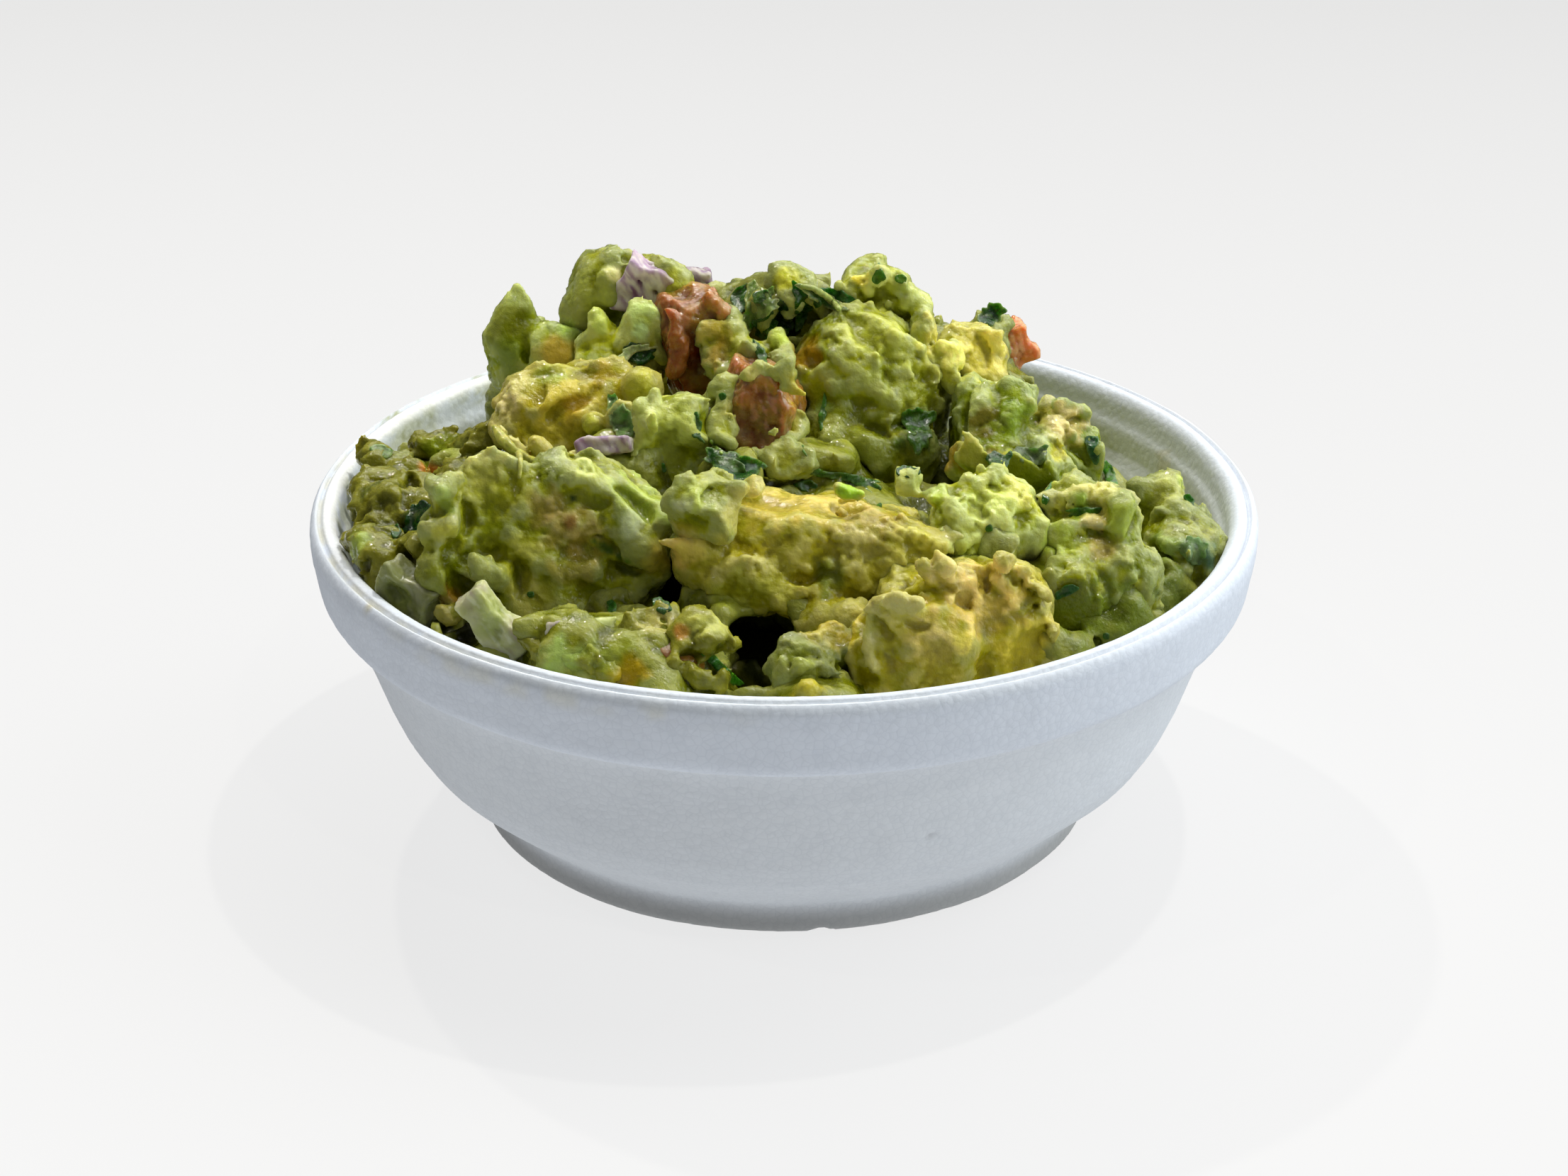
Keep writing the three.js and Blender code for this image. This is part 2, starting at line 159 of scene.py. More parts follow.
class Field:
    def __init__(s, lo, hi, h):
        s.h = float(h)
        s.lo = np.floor(np.asarray(lo, float) / h) * h
        s.n = (np.ceil((np.asarray(hi, float) - s.lo) / h) + 1).astype(int)
        s.d = np.full(tuple(s.n), 4.0, np.float32)
        s.tag = np.zeros(tuple(s.n), np.uint8)
        s.hi = s.lo + s.h * (s.n - 1)

    def local(s, lo, hi):
        a = np.maximum(np.ceil((np.asarray(lo) - s.lo) / s.h).astype(int), 0)
        b = np.minimum(np.floor((np.asarray(hi) - s.lo) / s.h).astype(int) + 1, s.n)
        if (b <= a).any():
            return None
        sl = tuple(slice(i, j) for i, j in zip(a, b))
        g = [(s.lo[i] + s.h * np.arange(a[i], b[i])).astype(np.float32) for i in range(3)]
        return sl, g[0][:, None, None], g[1][None, :, None], g[2][None, None, :]

    def merge(s, sl, e, k, cut=False, tag=0):
        a = s.d[sl]
        if cut:
            s.d[sl] = -smin(-a, e, k)
            if tag:
                t = s.tag[sl]
                t[-e > a - 0.3] = tag
        else:
            t = s.tag[sl]
            t[e < a] = tag
            s.d[sl] = smin(a, e, k)

    def ball(s, c, r, k=0.6, turn=None, cut=False, tag=0, p=2.0):
        r = np.array(np.broadcast_to(np.asarray(r, np.float32), (3,)))
        reach = float(r.max()) * (1.0 if p == 2 else 1.3) + k + 2 * s.h
        c = np.asarray(c, float)
        loc = s.local(c - reach, c + reach)
        if loc is None:
            return
        sl, X, Y, Z = loc
        x, y, z = X - np.float32(c[0]), Y - np.float32(c[1]), Z - np.float32(c[2])
        if turn is not None:
            T = turn if isinstance(turn, np.ndarray) else rot(turn)
            x, y, z = (x * T[0, i] + y * T[1, i] + z * T[2, i] for i in range(3))
        if p != 2.0:
            x, y, z = np.broadcast_arrays(np.abs(x) / r[0], np.abs(y) / r[1], np.abs(z) / r[2])
            x, y, z = np.maximum(x, 1e-4), np.maximum(y, 1e-4), np.maximum(z, 1e-4)
            xp, yp, zp = x ** (p - 1), y ** (p - 1), z ** (p - 1)
            g = (xp * x + yp * y + zp * z) ** (1 / p)
            m = g ** (1 - p) * np.sqrt((xp / r[0]) ** 2 + (yp / r[1]) ** 2 + (zp / r[2]) ** 2)
            e = (g - 1) / np.maximum(m, 1e-3)
        elif r[0] == r[1] == r[2]:
            e = np.sqrt(x * x + y * y + z * z) - r[0]
        else:
            k0 = np.sqrt((x / r[0]) ** 2 + (y / r[1]) ** 2 + (z / r[2]) ** 2)
            k1 = np.sqrt((x / r[0] ** 2) ** 2 + (y / r[1] ** 2) ** 2 + (z / r[2] ** 2) ** 2)
            e = k0 * (k0 - 1) / np.maximum(k1, 1e-3)
        s.merge(sl, e.astype(np.float32), k, cut, tag)

    def rod(s, a, b, ra, rb=None, k=0.5, cut=False, tag=0):
        rb = ra if rb is None else rb
        a, b = np.asarray(a, float), np.asarray(b, float)
        m = max(ra, rb) + k + 2 * s.h
        loc = s.local(np.minimum(a, b) - m, np.maximum(a, b) + m)
        if loc is None:
            return
        sl, X, Y, Z = loc
        ab = (b - a).astype(np.float32)
        L = max(float(ab @ ab), 1e-6)
        x, y, z = X - np.float32(a[0]), Y - np.float32(a[1]), Z - np.float32(a[2])
        t = np.clip((x * ab[0] + y * ab[1] + z * ab[2]) / L, 0, 1)
        e = np.sqrt((x - t * ab[0]) ** 2 + (y - t * ab[1]) ** 2 + (z - t * ab[2]) ** 2)
        s.merge(sl, (e - (ra + (rb - ra) * t)).astype(np.float32), k, cut, tag)

    def path(s, pts, r, k=0.5, cut=False, tag=0):
        pts = [np.asarray(p, float) for p in pts]
        rr = list(np.broadcast_to(np.asarray(r, float), (len(pts),)))
        for a, b, ra, rb in zip(pts, pts[1:], rr, rr[1:]):
            s.rod(a, b, ra, rb, k, cut, tag)

    def plane(s, n, c, k=0.8):
        """Cuts away what lies on the side of c that n points to."""
        n = np.asarray(n, float) / np.linalg.norm(n)
        sl, X, Y, Z = s.local(s.lo - 1, s.hi + 1)
        e = (X * np.float32(n[0]) + Y * np.float32(n[1]) + Z * np.float32(n[2])) - np.float32(np.dot(n, c))
        s.d[sl] = -smin(-s.d[sl], -np.broadcast_to(e, s.d.shape), k)

    def band(s, w):
        idx = np.flatnonzero(np.abs(s.d) < w)
        i = np.stack(np.unravel_index(idx, s.d.shape), 1)
        return idx, (s.lo + i * s.h).astype(np.float32)

    def push(s, fn, w=2.2):
        idx, P = s.band(w)
        s.d.reshape(-1)[idx] -= fn(P).astype(np.float32)

    def grad(s, P):
        e = s.h
        g = np.stack([s.at(P + np.eye(3)[i] * e) - s.at(P - np.eye(3)[i] * e) for i in range(3)], 1)
        return g / np.maximum(np.linalg.norm(g, axis=1, keepdims=True), 1e-6)

    def at(s, P, grid=None, fill=4.0):
        g = s.d if grid is None else grid
        Q = (np.asarray(P, float) - s.lo) / s.h
        ok = ((Q >= 0) & (Q <= s.n - 1.001)).all(1)
        out = np.full(len(Q), fill, np.float32)
        Q = Q[ok]
        if not len(Q):
            return out
        i = np.floor(Q).astype(int)
        f = (Q - i).astype(np.float32)
        x, y, z = i.T
        fx, fy, fz = f.T
        a = g[x, y, z] * (1 - fz) + g[x, y, z + 1] * fz
        b = g[x, y + 1, z] * (1 - fz) + g[x, y + 1, z + 1] * fz
        a = a + (b - a) * fy
        c = g[x + 1, y, z] * (1 - fz) + g[x + 1, y, z + 1] * fz
        b = g[x + 1, y + 1, z] * (1 - fz) + g[x + 1, y + 1, z + 1] * fz
        c = c + (b - c) * fy
        out[ok] = a + (c - a) * fx
        return out

    def at_tag(s, P):
        i = np.clip(np.round((np.asarray(P) - s.lo) / s.h).astype(int), 0, s.n - 1)
        return s.tag[i[:, 0], i[:, 1], i[:, 2]]

    def wring(s, bands, seed, w=2.6):
        """Pulls the shape about by smooth noise, so that nothing stays round."""
        idx, P = s.band(w)
        Q = P.astype(np.float64).copy()
        for j, (amp, lam) in enumerate(bands):
            for i in range(3):
                Q[:, i] += amp * noise(P, lam, seed + 17 * j + i)
        Q = np.clip(Q, s.lo + 0.01, s.hi - 0.01)
        new = s.at(Q)
        t = s.at_tag(Q)
        s.d.reshape(-1)[idx] = new
        s.tag.reshape(-1)[idx] = t

    def skin(s, count, rng, keep=None):
        """Random points on the surface, with their normals."""
        idx, P = s.band(0.6 * s.h)
        if keep is not None:
            P = P[keep(P)]
        if not len(P):
            return P, P
        P = P[rng.choice(len(P), min(count, len(P)), replace=False)].astype(float)
        N = s.grad(P)
        P = P - N * s.at(P)[:, None]
        return P, N

    def curds(s, count, rmin, rmax, rng, keep=None, out=(-0.3, 0.35), k=0.5, tag=0, flat=0.75):
        P, N = s.skin(count, rng, keep)
        for p, n in zip(P, N):
            r = rmin + (rmax - rmin) * rng.random() ** 2.0
            rr = r * np.array([1.0, rng.uniform(flat, 1.0), rng.uniform(flat, 1.15)])
            T = np.linalg.qr(rng.standard_normal((3, 3)))[0].astype(np.float32)
            s.ball(p + n * r * rng.uniform(*out), rr, k * min(1.0, r), T, tag=tag)

    def facets(s, count, rng, deep=(0.25, 0.7), reach=(2.6, 4.6), k=0.35):
        """Flat cuts over the high places, as a knife leaves them."""
        P, N = s.skin(count, rng)
        if not len(P):
            return []
        m = max(1, int(round(1.2 / s.h)))
        high = s.at(P, box_blur(np.clip(s.d, -3, 3), m), 0.0) > 0.13
        done = []
        for p, n in zip(P[high], N[high]):
            R, h_ = rng.uniform(*reach), rng.uniform(*deep)
            n = n + 0.22 * rng.standard_normal(3)
            n = n / np.linalg.norm(n)
            c = p - n * h_
            loc = s.local(c - R - 1, c + R + 1)
            if loc is None:
                continue
            sl, X, Y, Z = loc
            x, y, z = X - np.float32(c[0]), Y - np.float32(c[1]), Z - np.float32(c[2])
            e = np.minimum(x * n[0] + y * n[1] + z * n[2], R - np.sqrt(x * x + y * y + z * z)).astype(np.float32)
            s.d[sl] = -smin(-s.d[sl], -e, k)
            done.append((c, R))
        return done

    def mesh(s):
        b = 3 * s.h
        d = np.clip(s.d, -b, b)
        for ax in range(3):
            for e in (0, -1):
                w = [slice(None)] * 3
                w[ax] = e
                d[tuple(w)] = np.maximum(d[tuple(w)], 0.5 * s.h)
        g = openvdb.FloatGrid(b)
        g.copyFromArray(d)
        g.transform = openvdb.createLinearTransform(voxelSize=s.h)
        P, T, Q = g.convertToPolygons(isovalue=0.0, adaptivity=0.0)
        return P.astype(np.float64) + s.lo, Q.astype(np.int64)


# ---------------------------------------------------------------- the food's plan
# name, centre, half sizes, turn, squareness, as in the CAD model
BLOCKS = {
    "avocado_1": ((-34, -26, 53.4), (17.4, 12, 12.6), (-12, 10, 8), 2.7),
    "avocado_2": ((2.8, -28, 53.4), (20, 10.5, 9.4), (-14, 3, -2), 3.0),
    "avocado_3": ((26.2, -42, 47.6), (13.4, 9.5, 11), (-10, -6, 12), 3.4),
    "avocado_4": ((13.1, 7, 64.4), (12.3, 10.5, 15.2), (-16, -8, 10), 2.5),
    "avocado_5": ((14.6, 18, 77), (8.2, 7, 7.2), (0, 16, 0), 2.3),
    "avocado_6": ((33.4, 2, 60.6), (8.3, 8, 9.4), (-8, 8, 20), 2.6),
    "avocado_7": ((45.6, -22.5, 52.2), (9.6, 8.6, 9.4), (-6, 0, 24), 3.2),
    "avocado_8": ((59.2, -8, 47.8), (6.8, 8, 8.8), (0, 6, 14), 2.7),
    "avocado_9": ((-33.3, 4, 62.2), (13.2, 8.8, 9), (-18, -8, 6), 3.0),
    "avocado_10": ((-17.4, -8, 62.2), (6.2, 6, 8.6), (-8, 2, 0), 3.0),
    "avocado_11": ((-29.6, 26, 75.6), (6.6, 6.6, 8.3), (0, 10, 0), 2.4),
    "avocado_12": ((-41.4, 24, 67.6), (6.6, 5.2, 9.6), (0, -4, 0), 2.1),
    "avocado_13": ((4, -53, 46.2), (7.8, 6, 6.3), (0, 0, 0), 2.6),
    "avocado_14": ((-11.9, -33, 64.2), (5.2, 4.8, 4.8), (0, 8, 10), 2.8),
    "avocado_15": ((31, -25, 57.4), (7.6, 6.6, 7.2), (0, 0, -14), 2.5),
    "avocado_16": ((30.4, 14.5, 68.4), (6.6, 6, 5.6), (0, 6, 12), 3.0),
    "avocado_17": ((0, 33, 67), (11.5, 8.5, 8), (14, 6, 10), 2.7),
    "avocado_18": ((22, 38, 58), (10, 8, 9), (18, 0, -16), 2.9),
    "avocado_19": ((-22, 43, 58), (9, 7.5, 8.5), (20, -8, 14), 3.0),
    "avocado_20": ((-44, 36, 52), (8, 7, 7), (8, -10, 30), 2.6),
    "avocado_21": ((2, 53, 48.5), (11, 7.5, 7.5), (20, 4, -6), 2.8),
    "tomato_1": ((-13.8, 13, 71.2), (5.6, 5.4, 8.4), (0, -16, 18), 5.0),
    "tomato_2": ((-4, -4, 66.6), (6.2, 5.6, 7.2), (-8, 8, -12), 5.0),
    "tomato_3": ((38.4, 29, 65.2), (2.7, 2.7, 3.6), (0, -24, 20), 5.0),
    "tomato_4": ((-15.8, -54.6, 48.2), (3.4, 3.2, 3.4), (0, 20, 10), 5.0),
    "tomato_5": ((-12, 46, 58), (4.4, 4.2, 5), (20, 10, 30), 5.0),
    "onion_1": ((-22.4, 19.6, 79.2), (5, 1.9, 6.4), (6, 26, -8), 5.0),
    "onion_2": ((-41.6, -48.6, 51.6), (6, 2, 2.7), (0, 48, -18), 5.0),
    "onion_3": ((-55.2, -37.6, 51), (4.9, 2.6, 4), (0, 22, -30), 5.0),
    "onion_4": ((-27.4, -15.4, 65.2), (4.4, 2.8, 1.3), (-24, -6, 0), 5.0),
    "onion_5": ((-29.3, -51.6, 52.4), (5.6, 2.4, 1.3), (-20, 4, 6), 5.0),
    "onion_6": ((-14.5, 30, 75.6), (2.7, 2, 2.4), (0, 0, 0), 5.0),
}
LUMPS = [
    (-24, 15, 66, 7), (-6, 22, 71, 8), (1, 15, 76, 7.5), (14, 14, 70, 9), (24, 20, 65, 8),
    (35, 24, 59, 6), (44, 8, 51, 8), (50, 6, 47, 6), (-57, -14, 47, 8), (-60, 4, 47, 8),
    (-54, 10, 49, 8), (-50, 2, 52, 7), (-58, 20, 46, 7), (-30, -51, 47.5, 8.5),
    (-20, -55, 46, 8), (-45, -45, 45, 7.5), (-57, -27, 45, 8), (15, -53, 46, 7.5),
    (-7, -54, 42, 7), (4, -60, 42, 8), (-17, -59, 43, 7), (26, -57, 42, 7), (34, -34, 52, 8),
    (40, -44, 44, 7), (48, -34, 45, 8), (56, -22, 43, 7), (-8, -18, 61, 7), (6, -10, 61, 8),
    (-24, -11, 59, 8), (9, -30, 60, 5),
]
FINE = 0.45
FIELDS = {}


def block(name, h=None, warp=(1.1, 9.0), grow=0.0, seed=None, room=5.0):
    c, half, turn, p = BLOCKS[name]
    seed = seed if seed is not None else sum(map(ord, name))
    reach = max(half) * 1.25 + room
    c = np.array(c, float)
    F = Field(c - reach, c + reach, h or FINE)
    sl, X, Y, Z = F.local(F.lo - 1, F.hi + 1)
    P = np.stack([a.ravel() for a in np.broadcast_arrays(X, Y, Z)], 1)
    q = P - c.astype(np.float32)
    amp, lam = warp
    if amp:
        near = np.abs(np.linalg.norm(q, axis=1)) < reach
        for i in range(3):
            q[near, i] += amp * noise(P[near], lam, seed * 3 + i)
    q = q @ rot(turn)
    r = np.array(half, np.float32) + grow
    if name == "onion_1":
        r = np.array([3.9, 1.6, 5.0], np.float32)
        q[:, 2] += 1.1
    if name[0] in "to":
        rnd = 0.7 if name[0] == "t" else 0.35
        a = np.abs(q) - (r - rnd)
        F.d[...] = (np.linalg.norm(np.maximum(a, 0), axis=1) + np.minimum(a.max(1), 0) - rnd).reshape(F.d.shape)
        FIELDS[name] = F
        return F
    a = np.maximum(np.abs(q) / r, 1e-4)
    ap = a ** (p - 1)
    g = (ap * a).sum(1) ** (1 / p)
    m = g ** (1 - p) * np.sqrt(((ap / r) ** 2).sum(1))
    F.d[...] = np.clip((g - 1) / np.maximum(m, 1e-3), -6, 6).reshape(F.d.shape)
    FIELDS[name] = F
    return F


def lumpy(F, amp, lam, seed, kind="soft", w=2.4):
    def fn(P):
        n = noise(P, lam, seed)
        if kind == "crease":          # rounded bumps between sharp valleys
            return amp * (np.minimum(np.abs(n) * 1.9, 1.0) - 0.5)
        if kind == "ridge":
            return amp * (0.5 - np.minimum(np.abs(n) * 1.9, 1.0))
        return amp * n
    F.push(fn, w)


def hit(u, v, only=None):
    """Where the line of sight first meets the food: point, normal, field's name."""
    d = ray(u, v)
    best = None
    for name, F in FIELDS.items():
        if only and name not in only:
            continue
        with np.errstate(divide="ignore", invalid="ignore"):
            t1, t2 = (F.lo - CAM) / d, (F.hi - CAM) / d
        a, b = np.minimum(t1, t2).max(), np.maximum(t1, t2).min()
        if b <= a:
            continue
        t = np.arange(a, b, 0.35)
        f = F.at(CAM + t[:, None] * d)
        i = np.flatnonzero(f < 0)
        if len(i):
            i = i[0]
            tt = t[i] if i == 0 else t[i - 1] + 0.35 * f[i - 1] / max(f[i - 1] - f[i], 1e-4)
            if best is None or tt < best[0]:
                best = (tt, name)
    if best is None:
        return None, None, None
    P = CAM + best[0] * d
    return P, FIELDS[best[1]].grad(P[None])[0], best[1]


# ---------------------------------------------------------------- the bowl's inside
WALL_IN = np.array([
    (6.2, 44.0), (7.2, 48.5), (9.3, 53.1), (13.4, 57.6), (17.6, 60.2), (22.0, 61.8), (27.0, 63.3),
    (31.5, 64.8), (36.0, 66.4), (40.7, 67.0), (42.1, 68.5), (46.4, 68.9), (47.4, 69.6), (50.5, 70.2),
    (51.7, 71.2),
])


def wall_in(z):
    return np.interp(z, WALL_IN[:, 0], WALL_IN[:, 1])


def trim_to_wall(F, into=0.45):
    """Food below the rim reaches just into the wall, and no further."""
    if np.abs(np.array([F.lo[:2], F.hi[:2]])).max() < 44:
        return
    sl, X, Y, Z = F.local(F.lo - 1, F.hi + 1)
    R = np.sqrt(X * X + Y * Y)
    e = R - (wall_in(Z).astype(np.float32) + np.where(Z > 50.2, 40.0, into).astype(np.float32))
    F.d[...] = np.maximum(F.d, np.broadcast_to(e, F.d.shape))


def dome(X, Y):
    side = (0.62 * X + 0.78 * Y) / 70.0
    t = np.maximum(0.0, 1 - (X * X + Y * Y) / 66.0 ** 2)
    return (40.2 - 2.4 * side) + (23.5 - 1.5 * side) * t ** 1.15


# ---------------------------------------------------------------- chunks, first their forms
FAR = {"avocado_17", "avocado_18", "avocado_19", "avocado_20", "avocado_21"}
CALM = []    # (point, radius, how much): smooth places
ROUGH = []   # (point, radius, how much): crumbly places
ZONES = []   # (point, radius, colour, how much)
GROW = {"avocado_1": -1.0, "avocado_2": -0.8, "avocado_3": -0.8, "avocado_4": -0.9, "avocado_9": -0.7,
        "avocado_6": -0.8, "avocado_7": -0.8, "avocado_8": -0.6, "avocado_11": -0.3, "avocado_12": -2.6,
        "avocado_13": -1.7, "avocado_5": -1.0, "avocado_14": -0.6, "avocado_15": -0.6}
SEEN_H = 0.47
for name in BLOCKS:
    if name.startswith("avocado"):
        far = name in FAR
        block(name, h=0.7 if far else SEEN_H, warp=(1.3, 11.0), grow=GROW.get(name, -0.5))
A = {int(n.split("_")[1]): F for n, F in FIELDS.items()}

# the mash that fills the bowl and shows between the chunks
h = 0.84
M = Field((-70.5, -70.5, 30.5), (70.5, 70.5, 84), h)
FIELDS["mash"] = M
sl, X, Y, Z = M.local(M.lo - 1, M.hi + 1)
M.d[...] = np.clip(np.broadcast_to((Z - (dome(X, Y) - 4.0).astype(np.float32)) * 0.86, M.d.shape), -6, 6)
# dark hollows between the chunks
HOLLOWS = [(930, 826, 4.6), (960, 836, 4.0), (905, 840, 3.0), (1070, 900, 5.0), (1100, 900, 5.0), (1078, 940, 5.0), (1056, 955, 4.0), (1050, 892, 5.0), (1082, 922, 5.4), (1064, 872, 3.6),
           (658, 884, 3.6), (620, 838, 3.0), (945, 545, 3.6), (985, 555, 4.2), (1330, 745, 2.2), (1450, 785, 2.6),
           (1118, 450, 3.2), (1280, 664, 2.8), (1100, 925, 4.0)]
LOW = {(26, -57, 42, 7): 0.3, (40, -44, 44, 7): 0.7, (15, -53, 46, 7.5): 0.35, (9, -30, 60, 5): 0.3, (6, -10, 61, 8): 0.6,
       (-8, -18, 61, 7): 0.8}
for x, y, z, r in LUMPS:
    q = r * LOW.get((x, y, z, r), 1.0)
    M.ball((x, y, z), (q * 0.96, q * 0.93, q * 0.9), 2.0)
stamp_time("forms")


def put(F, u, v, y, r, k=1.2, turn=None, **kw):
    F.ball(at(u, v, y), r, 1.5 * k, turn, **kw)


def limb(F, pts, r, k=1.0, **kw):
    F.path([at(*p) for p in pts], r, 1.6 * k, **kw)


def bits(name, pts_lo, pts_hi):
    lo, hi = np.minimum(pts_lo, pts_hi), np.maximum(pts_lo, pts_hi)
    F = Field(lo, hi, SEEN_H)
    FIELDS[name] = F
    return F


# the big chunk at the front left: two humps, a saddle and a long cut slope
F = A[1]
put(F, 678, 680, -31, (5.0, 5.0, 4.6), 1.6)
limb(F, [(690, 672, -31), (731, 694, -30), (770, 694, -29), (800, 674, -28), (830, 668, -27)], [3.0, 3.2, 3.6, 4.4, 4.8], 1.2)
F.ball(at(836, 684, -26), (7.2, 5.0, 4.6), 2.0, (0, 8, 0), p=3.4)
limb(F, [(850, 668, -28), (890, 690, -29), (930, 716, -30)], [3.6, 4.0, 3.6], 2.4)
F.plane((0.44, -0.16, 0.88), at(890, 683, -28), 0.7)
F.plane((-0.08, -0.9, 0.42), at(815, 705, -33.6), 0.8)
F.plane((0.5, -0.84, 0.2), at(905, 745, -35.2), 0.8)
put(F, 745, 845, -33, (9.5, 6.0, 7.5), 3.0)
limb(F, [(622, 762, -36.5), (628, 806, -37.5), (642, 838, -38)], [2.8, 3.3, 2.8], 1.3)
put(F, 641, 714, -31, (3.4, 3.6, 3.6), 1.6)
put(F, 638, 744, -33.5, (3.2, 3.4, 3.8), 1.6)
put(F, 624, 700, -33.2, (1.9, 2.0, 2.9), 0.5, (10, -12, 25), p=4.0)
put(F, 628, 750, -37.0, (2.3, 2.2, 2.1), 0.5, tag=1)
F.ball(at(664, 768, -40.5), (2.0, 5.5, 2.7), 0.5, (0, 20, 0), cut=True)
limb(F, [(658, 780, -41), (650, 806, -41.5), (654, 838, -42)], [1.9, 1.3, 0.8], 0.4, cut=True)
limb(F, [(654, 784, -41), (664, 789, -40.5), (680, 800, -39.5), (700, 815, -38.5)], [0.2, 0.7, 1.5, 2.4], 0.8)
limb(F, [(868, 700, -30), (884, 745, -34), (893, 796, -36)], [1.8, 1.7, 1.0], 1.0)
put(F, 912, 786, -32, (3.6, 3.5, 4.6), 2.0, (0, -20, 0))
F.ball(at(945, 838, -38.5), (4.6, 5, 3.4), 0.8, cut=True)
# crumpled lump above it
F = A[14]
put(F, 985, 700, -35, (4.4, 3.8, 4.0), 1.0)
limb(F, [(970, 680, -36), (968, 712, -38)], [1.0, 1.2], 0.6)
limb(F, [(1002, 676, -35), (1012, 702, -37.5), (1020, 735, -38)], [1.1, 1.0, 0.8], 0.5)
limb(F, [(1036, 690, -34), (1032, 722, -36)], [1.3, 1.1], 0.6)
for u, v, r in ((1055, 694, 1.3), (1070, 690, 1.5), (1086, 696, 1.2), (1062, 704, 1.0)):
    put(F, u, v, -31, r, 0.4)
F.plane((0.25, -0.35, 0.9), at(1005, 684, -35), 0.5)
F.plane((-0.7, -0.6, 0.3), at(960, 706, -37.5), 0.5)
put(F, 990, 738, -34, (4.6, 3.4, 3.2), 2.0)
F.plane((0.75, -0.62, 0.1), at(1030, 716, -37), 0.5)
# the long yellow chunk
F = A[2]
F.plane((0.03, -0.22, 0.97), at(1130, 712, -30), 1.6)
F.plane((-0.72, -0.1, -0.69), at(975, 822, -36), 1.4)
put(F, 985, 790, -34.5, (4.6, 3.6, 4.4), 2.0)
limb(F, [(972, 768, -36), (952, 764, -37), (938, 762, -37.5)], [1.8, 0.9, 0.3], 1.2)
limb(F, [(1006, 806, -38.6), (1026, 799, -39.0), (1056, 790, -38.8), (1094, 797, -37.8)], [0.3, 0.6, 0.8, 0.5], 0.3, tag=9)
limb(F, [(1268, 712, -34), (1270, 694, -34.5)], [1.1, 0.45], 0.5, tag=9)
F.ball(at(1175, 782, -33), (12.5, 5.2, 5.8), 1.6, (-14, 4, -3), p=5.0)
F.ball(at(1262, 782, -33), (7.4, 5.0, 4.8), 1.6, (-14, 12, -3), p=4.0)
limb(F, [(1272, 724, -35), (1303, 740, -36), (1322, 756, -36), (1322, 790, -36)], [0.8, 1.0, 1.2, 1.4], 2.0)
F.plane((0.34, -0.2, 0.92), at(1275, 724, -34), 1.0)
F.plane((0.1, -0.97, 0.2), at(1200, 775, -40.2), 1.0)
put(F, 1198, 694, -32.5, (2.9, 1.5, 1.5), 0.3, (0, 24, 0), tag=2)
F.ball(at(1120, 838, -37.5), (8.0, 3.6, 3.6), 1.6, (-8, 4, 0), p=3.0)
F.ball(at(1040, 822, -37.6), (5.0, 3.0, 2.8), 1.4, p=3.0)
put(F, 1165, 880, -42, (5.0, 3.5, 3.0), 1.5)
put(F, 1205, 876, -44, (3.4, 3.0, 3.2), 1.2)
limb(F, [(1046, 832, -38.5), (1080, 850, -39), (1130, 858, -40)], [0.8, 1.1, 1.3], 0.6)
# the yellow chunk at the front right, with a cream curl on its left
F = A[3]
F.plane((0.16, -0.96, -0.12), at(1370, 890, -52.5), 1.2)
F.ball(at(1276, 930, -50.8), (8.0, 5.0, 8.2), 3.2, (0, 0, 8), p=3.2)
F.ball(at(1320, 915, -51.0), (6.0, 4.6, 7.5), 2.6, p=3.0)
F.plane((-0.1, -0.97, 0.22), at(1270, 920, -56), 0.8)
limb(F, [(1216, 850, -53), (1219, 880, -54.6), (1222, 912, -55.6), (1236, 945, -56.4)], [0.6, 0.75, 0.8, 0.7], 0.5, tag=9)
F.ball(at(1262, 862, -53.4), (4.3, 1.9, 2.2), 1.4, (0, 6, 4), p=3.0, tag=9)
for u, v, r in ((1234, 848, 1.1), (1252, 842, 1.0), (1272, 846, 1.2), (1292, 846, 1.1), (1298, 862, 1.0), (1240, 876, 1.0), (1262, 882, 1.0)):
    put(F, u, v, -54.2, r, 0.8, tag=9)
limb(F, [(1300, 806, -48), (1328, 810, -48), (1380, 828, -46)], [1.6, 1.8, 1.6], 0.6, tag=3)
for u, v, r in ((1462, 815, 1.5), (1474, 838, 1.5), (1478, 862, 1.4), (1486, 884, 1.6), (1490, 910, 1.6), (1484, 934, 1.3), (1446, 800, 1.4), (1420, 792, 1.5)):
    put(F, u, v, -46.5, r, 0.5)
# the tall ridged one in the middle
F = A[4]
F.plane((-0.86, -0.5, 0.1), at(1120, 540, -3), 1.6)
for pts, r in (
    ([(1150, 448), (1196, 437), (1236, 458), (1262, 492), (1290, 528)], 1.35),
    ([(1184, 462), (1200, 490), (1228, 505), (1262, 522), (1282, 548)], 1.2),
    ([(1152, 488), (1176, 510), (1212, 522), (1238, 530)], 1.15),
    ([(1152, 520), (1180, 536), (1206, 541), (1240, 552), (1262, 572)], 1.3),
    ([(1262, 470), (1290, 496), (1318, 520), (1338, 548)], 1.3),
    ([(1210, 430), (1246, 446), (1284, 470)], 1.3),
):
    P = []
    for u, v in pts:
        p, n, _ = hit(u, v, ("avocado_4", "avocado_5"))
        if p is not None:
            P.append(p - n * 0.3)
    if len(P) > 1:
        F.path(P, r, 0.9)
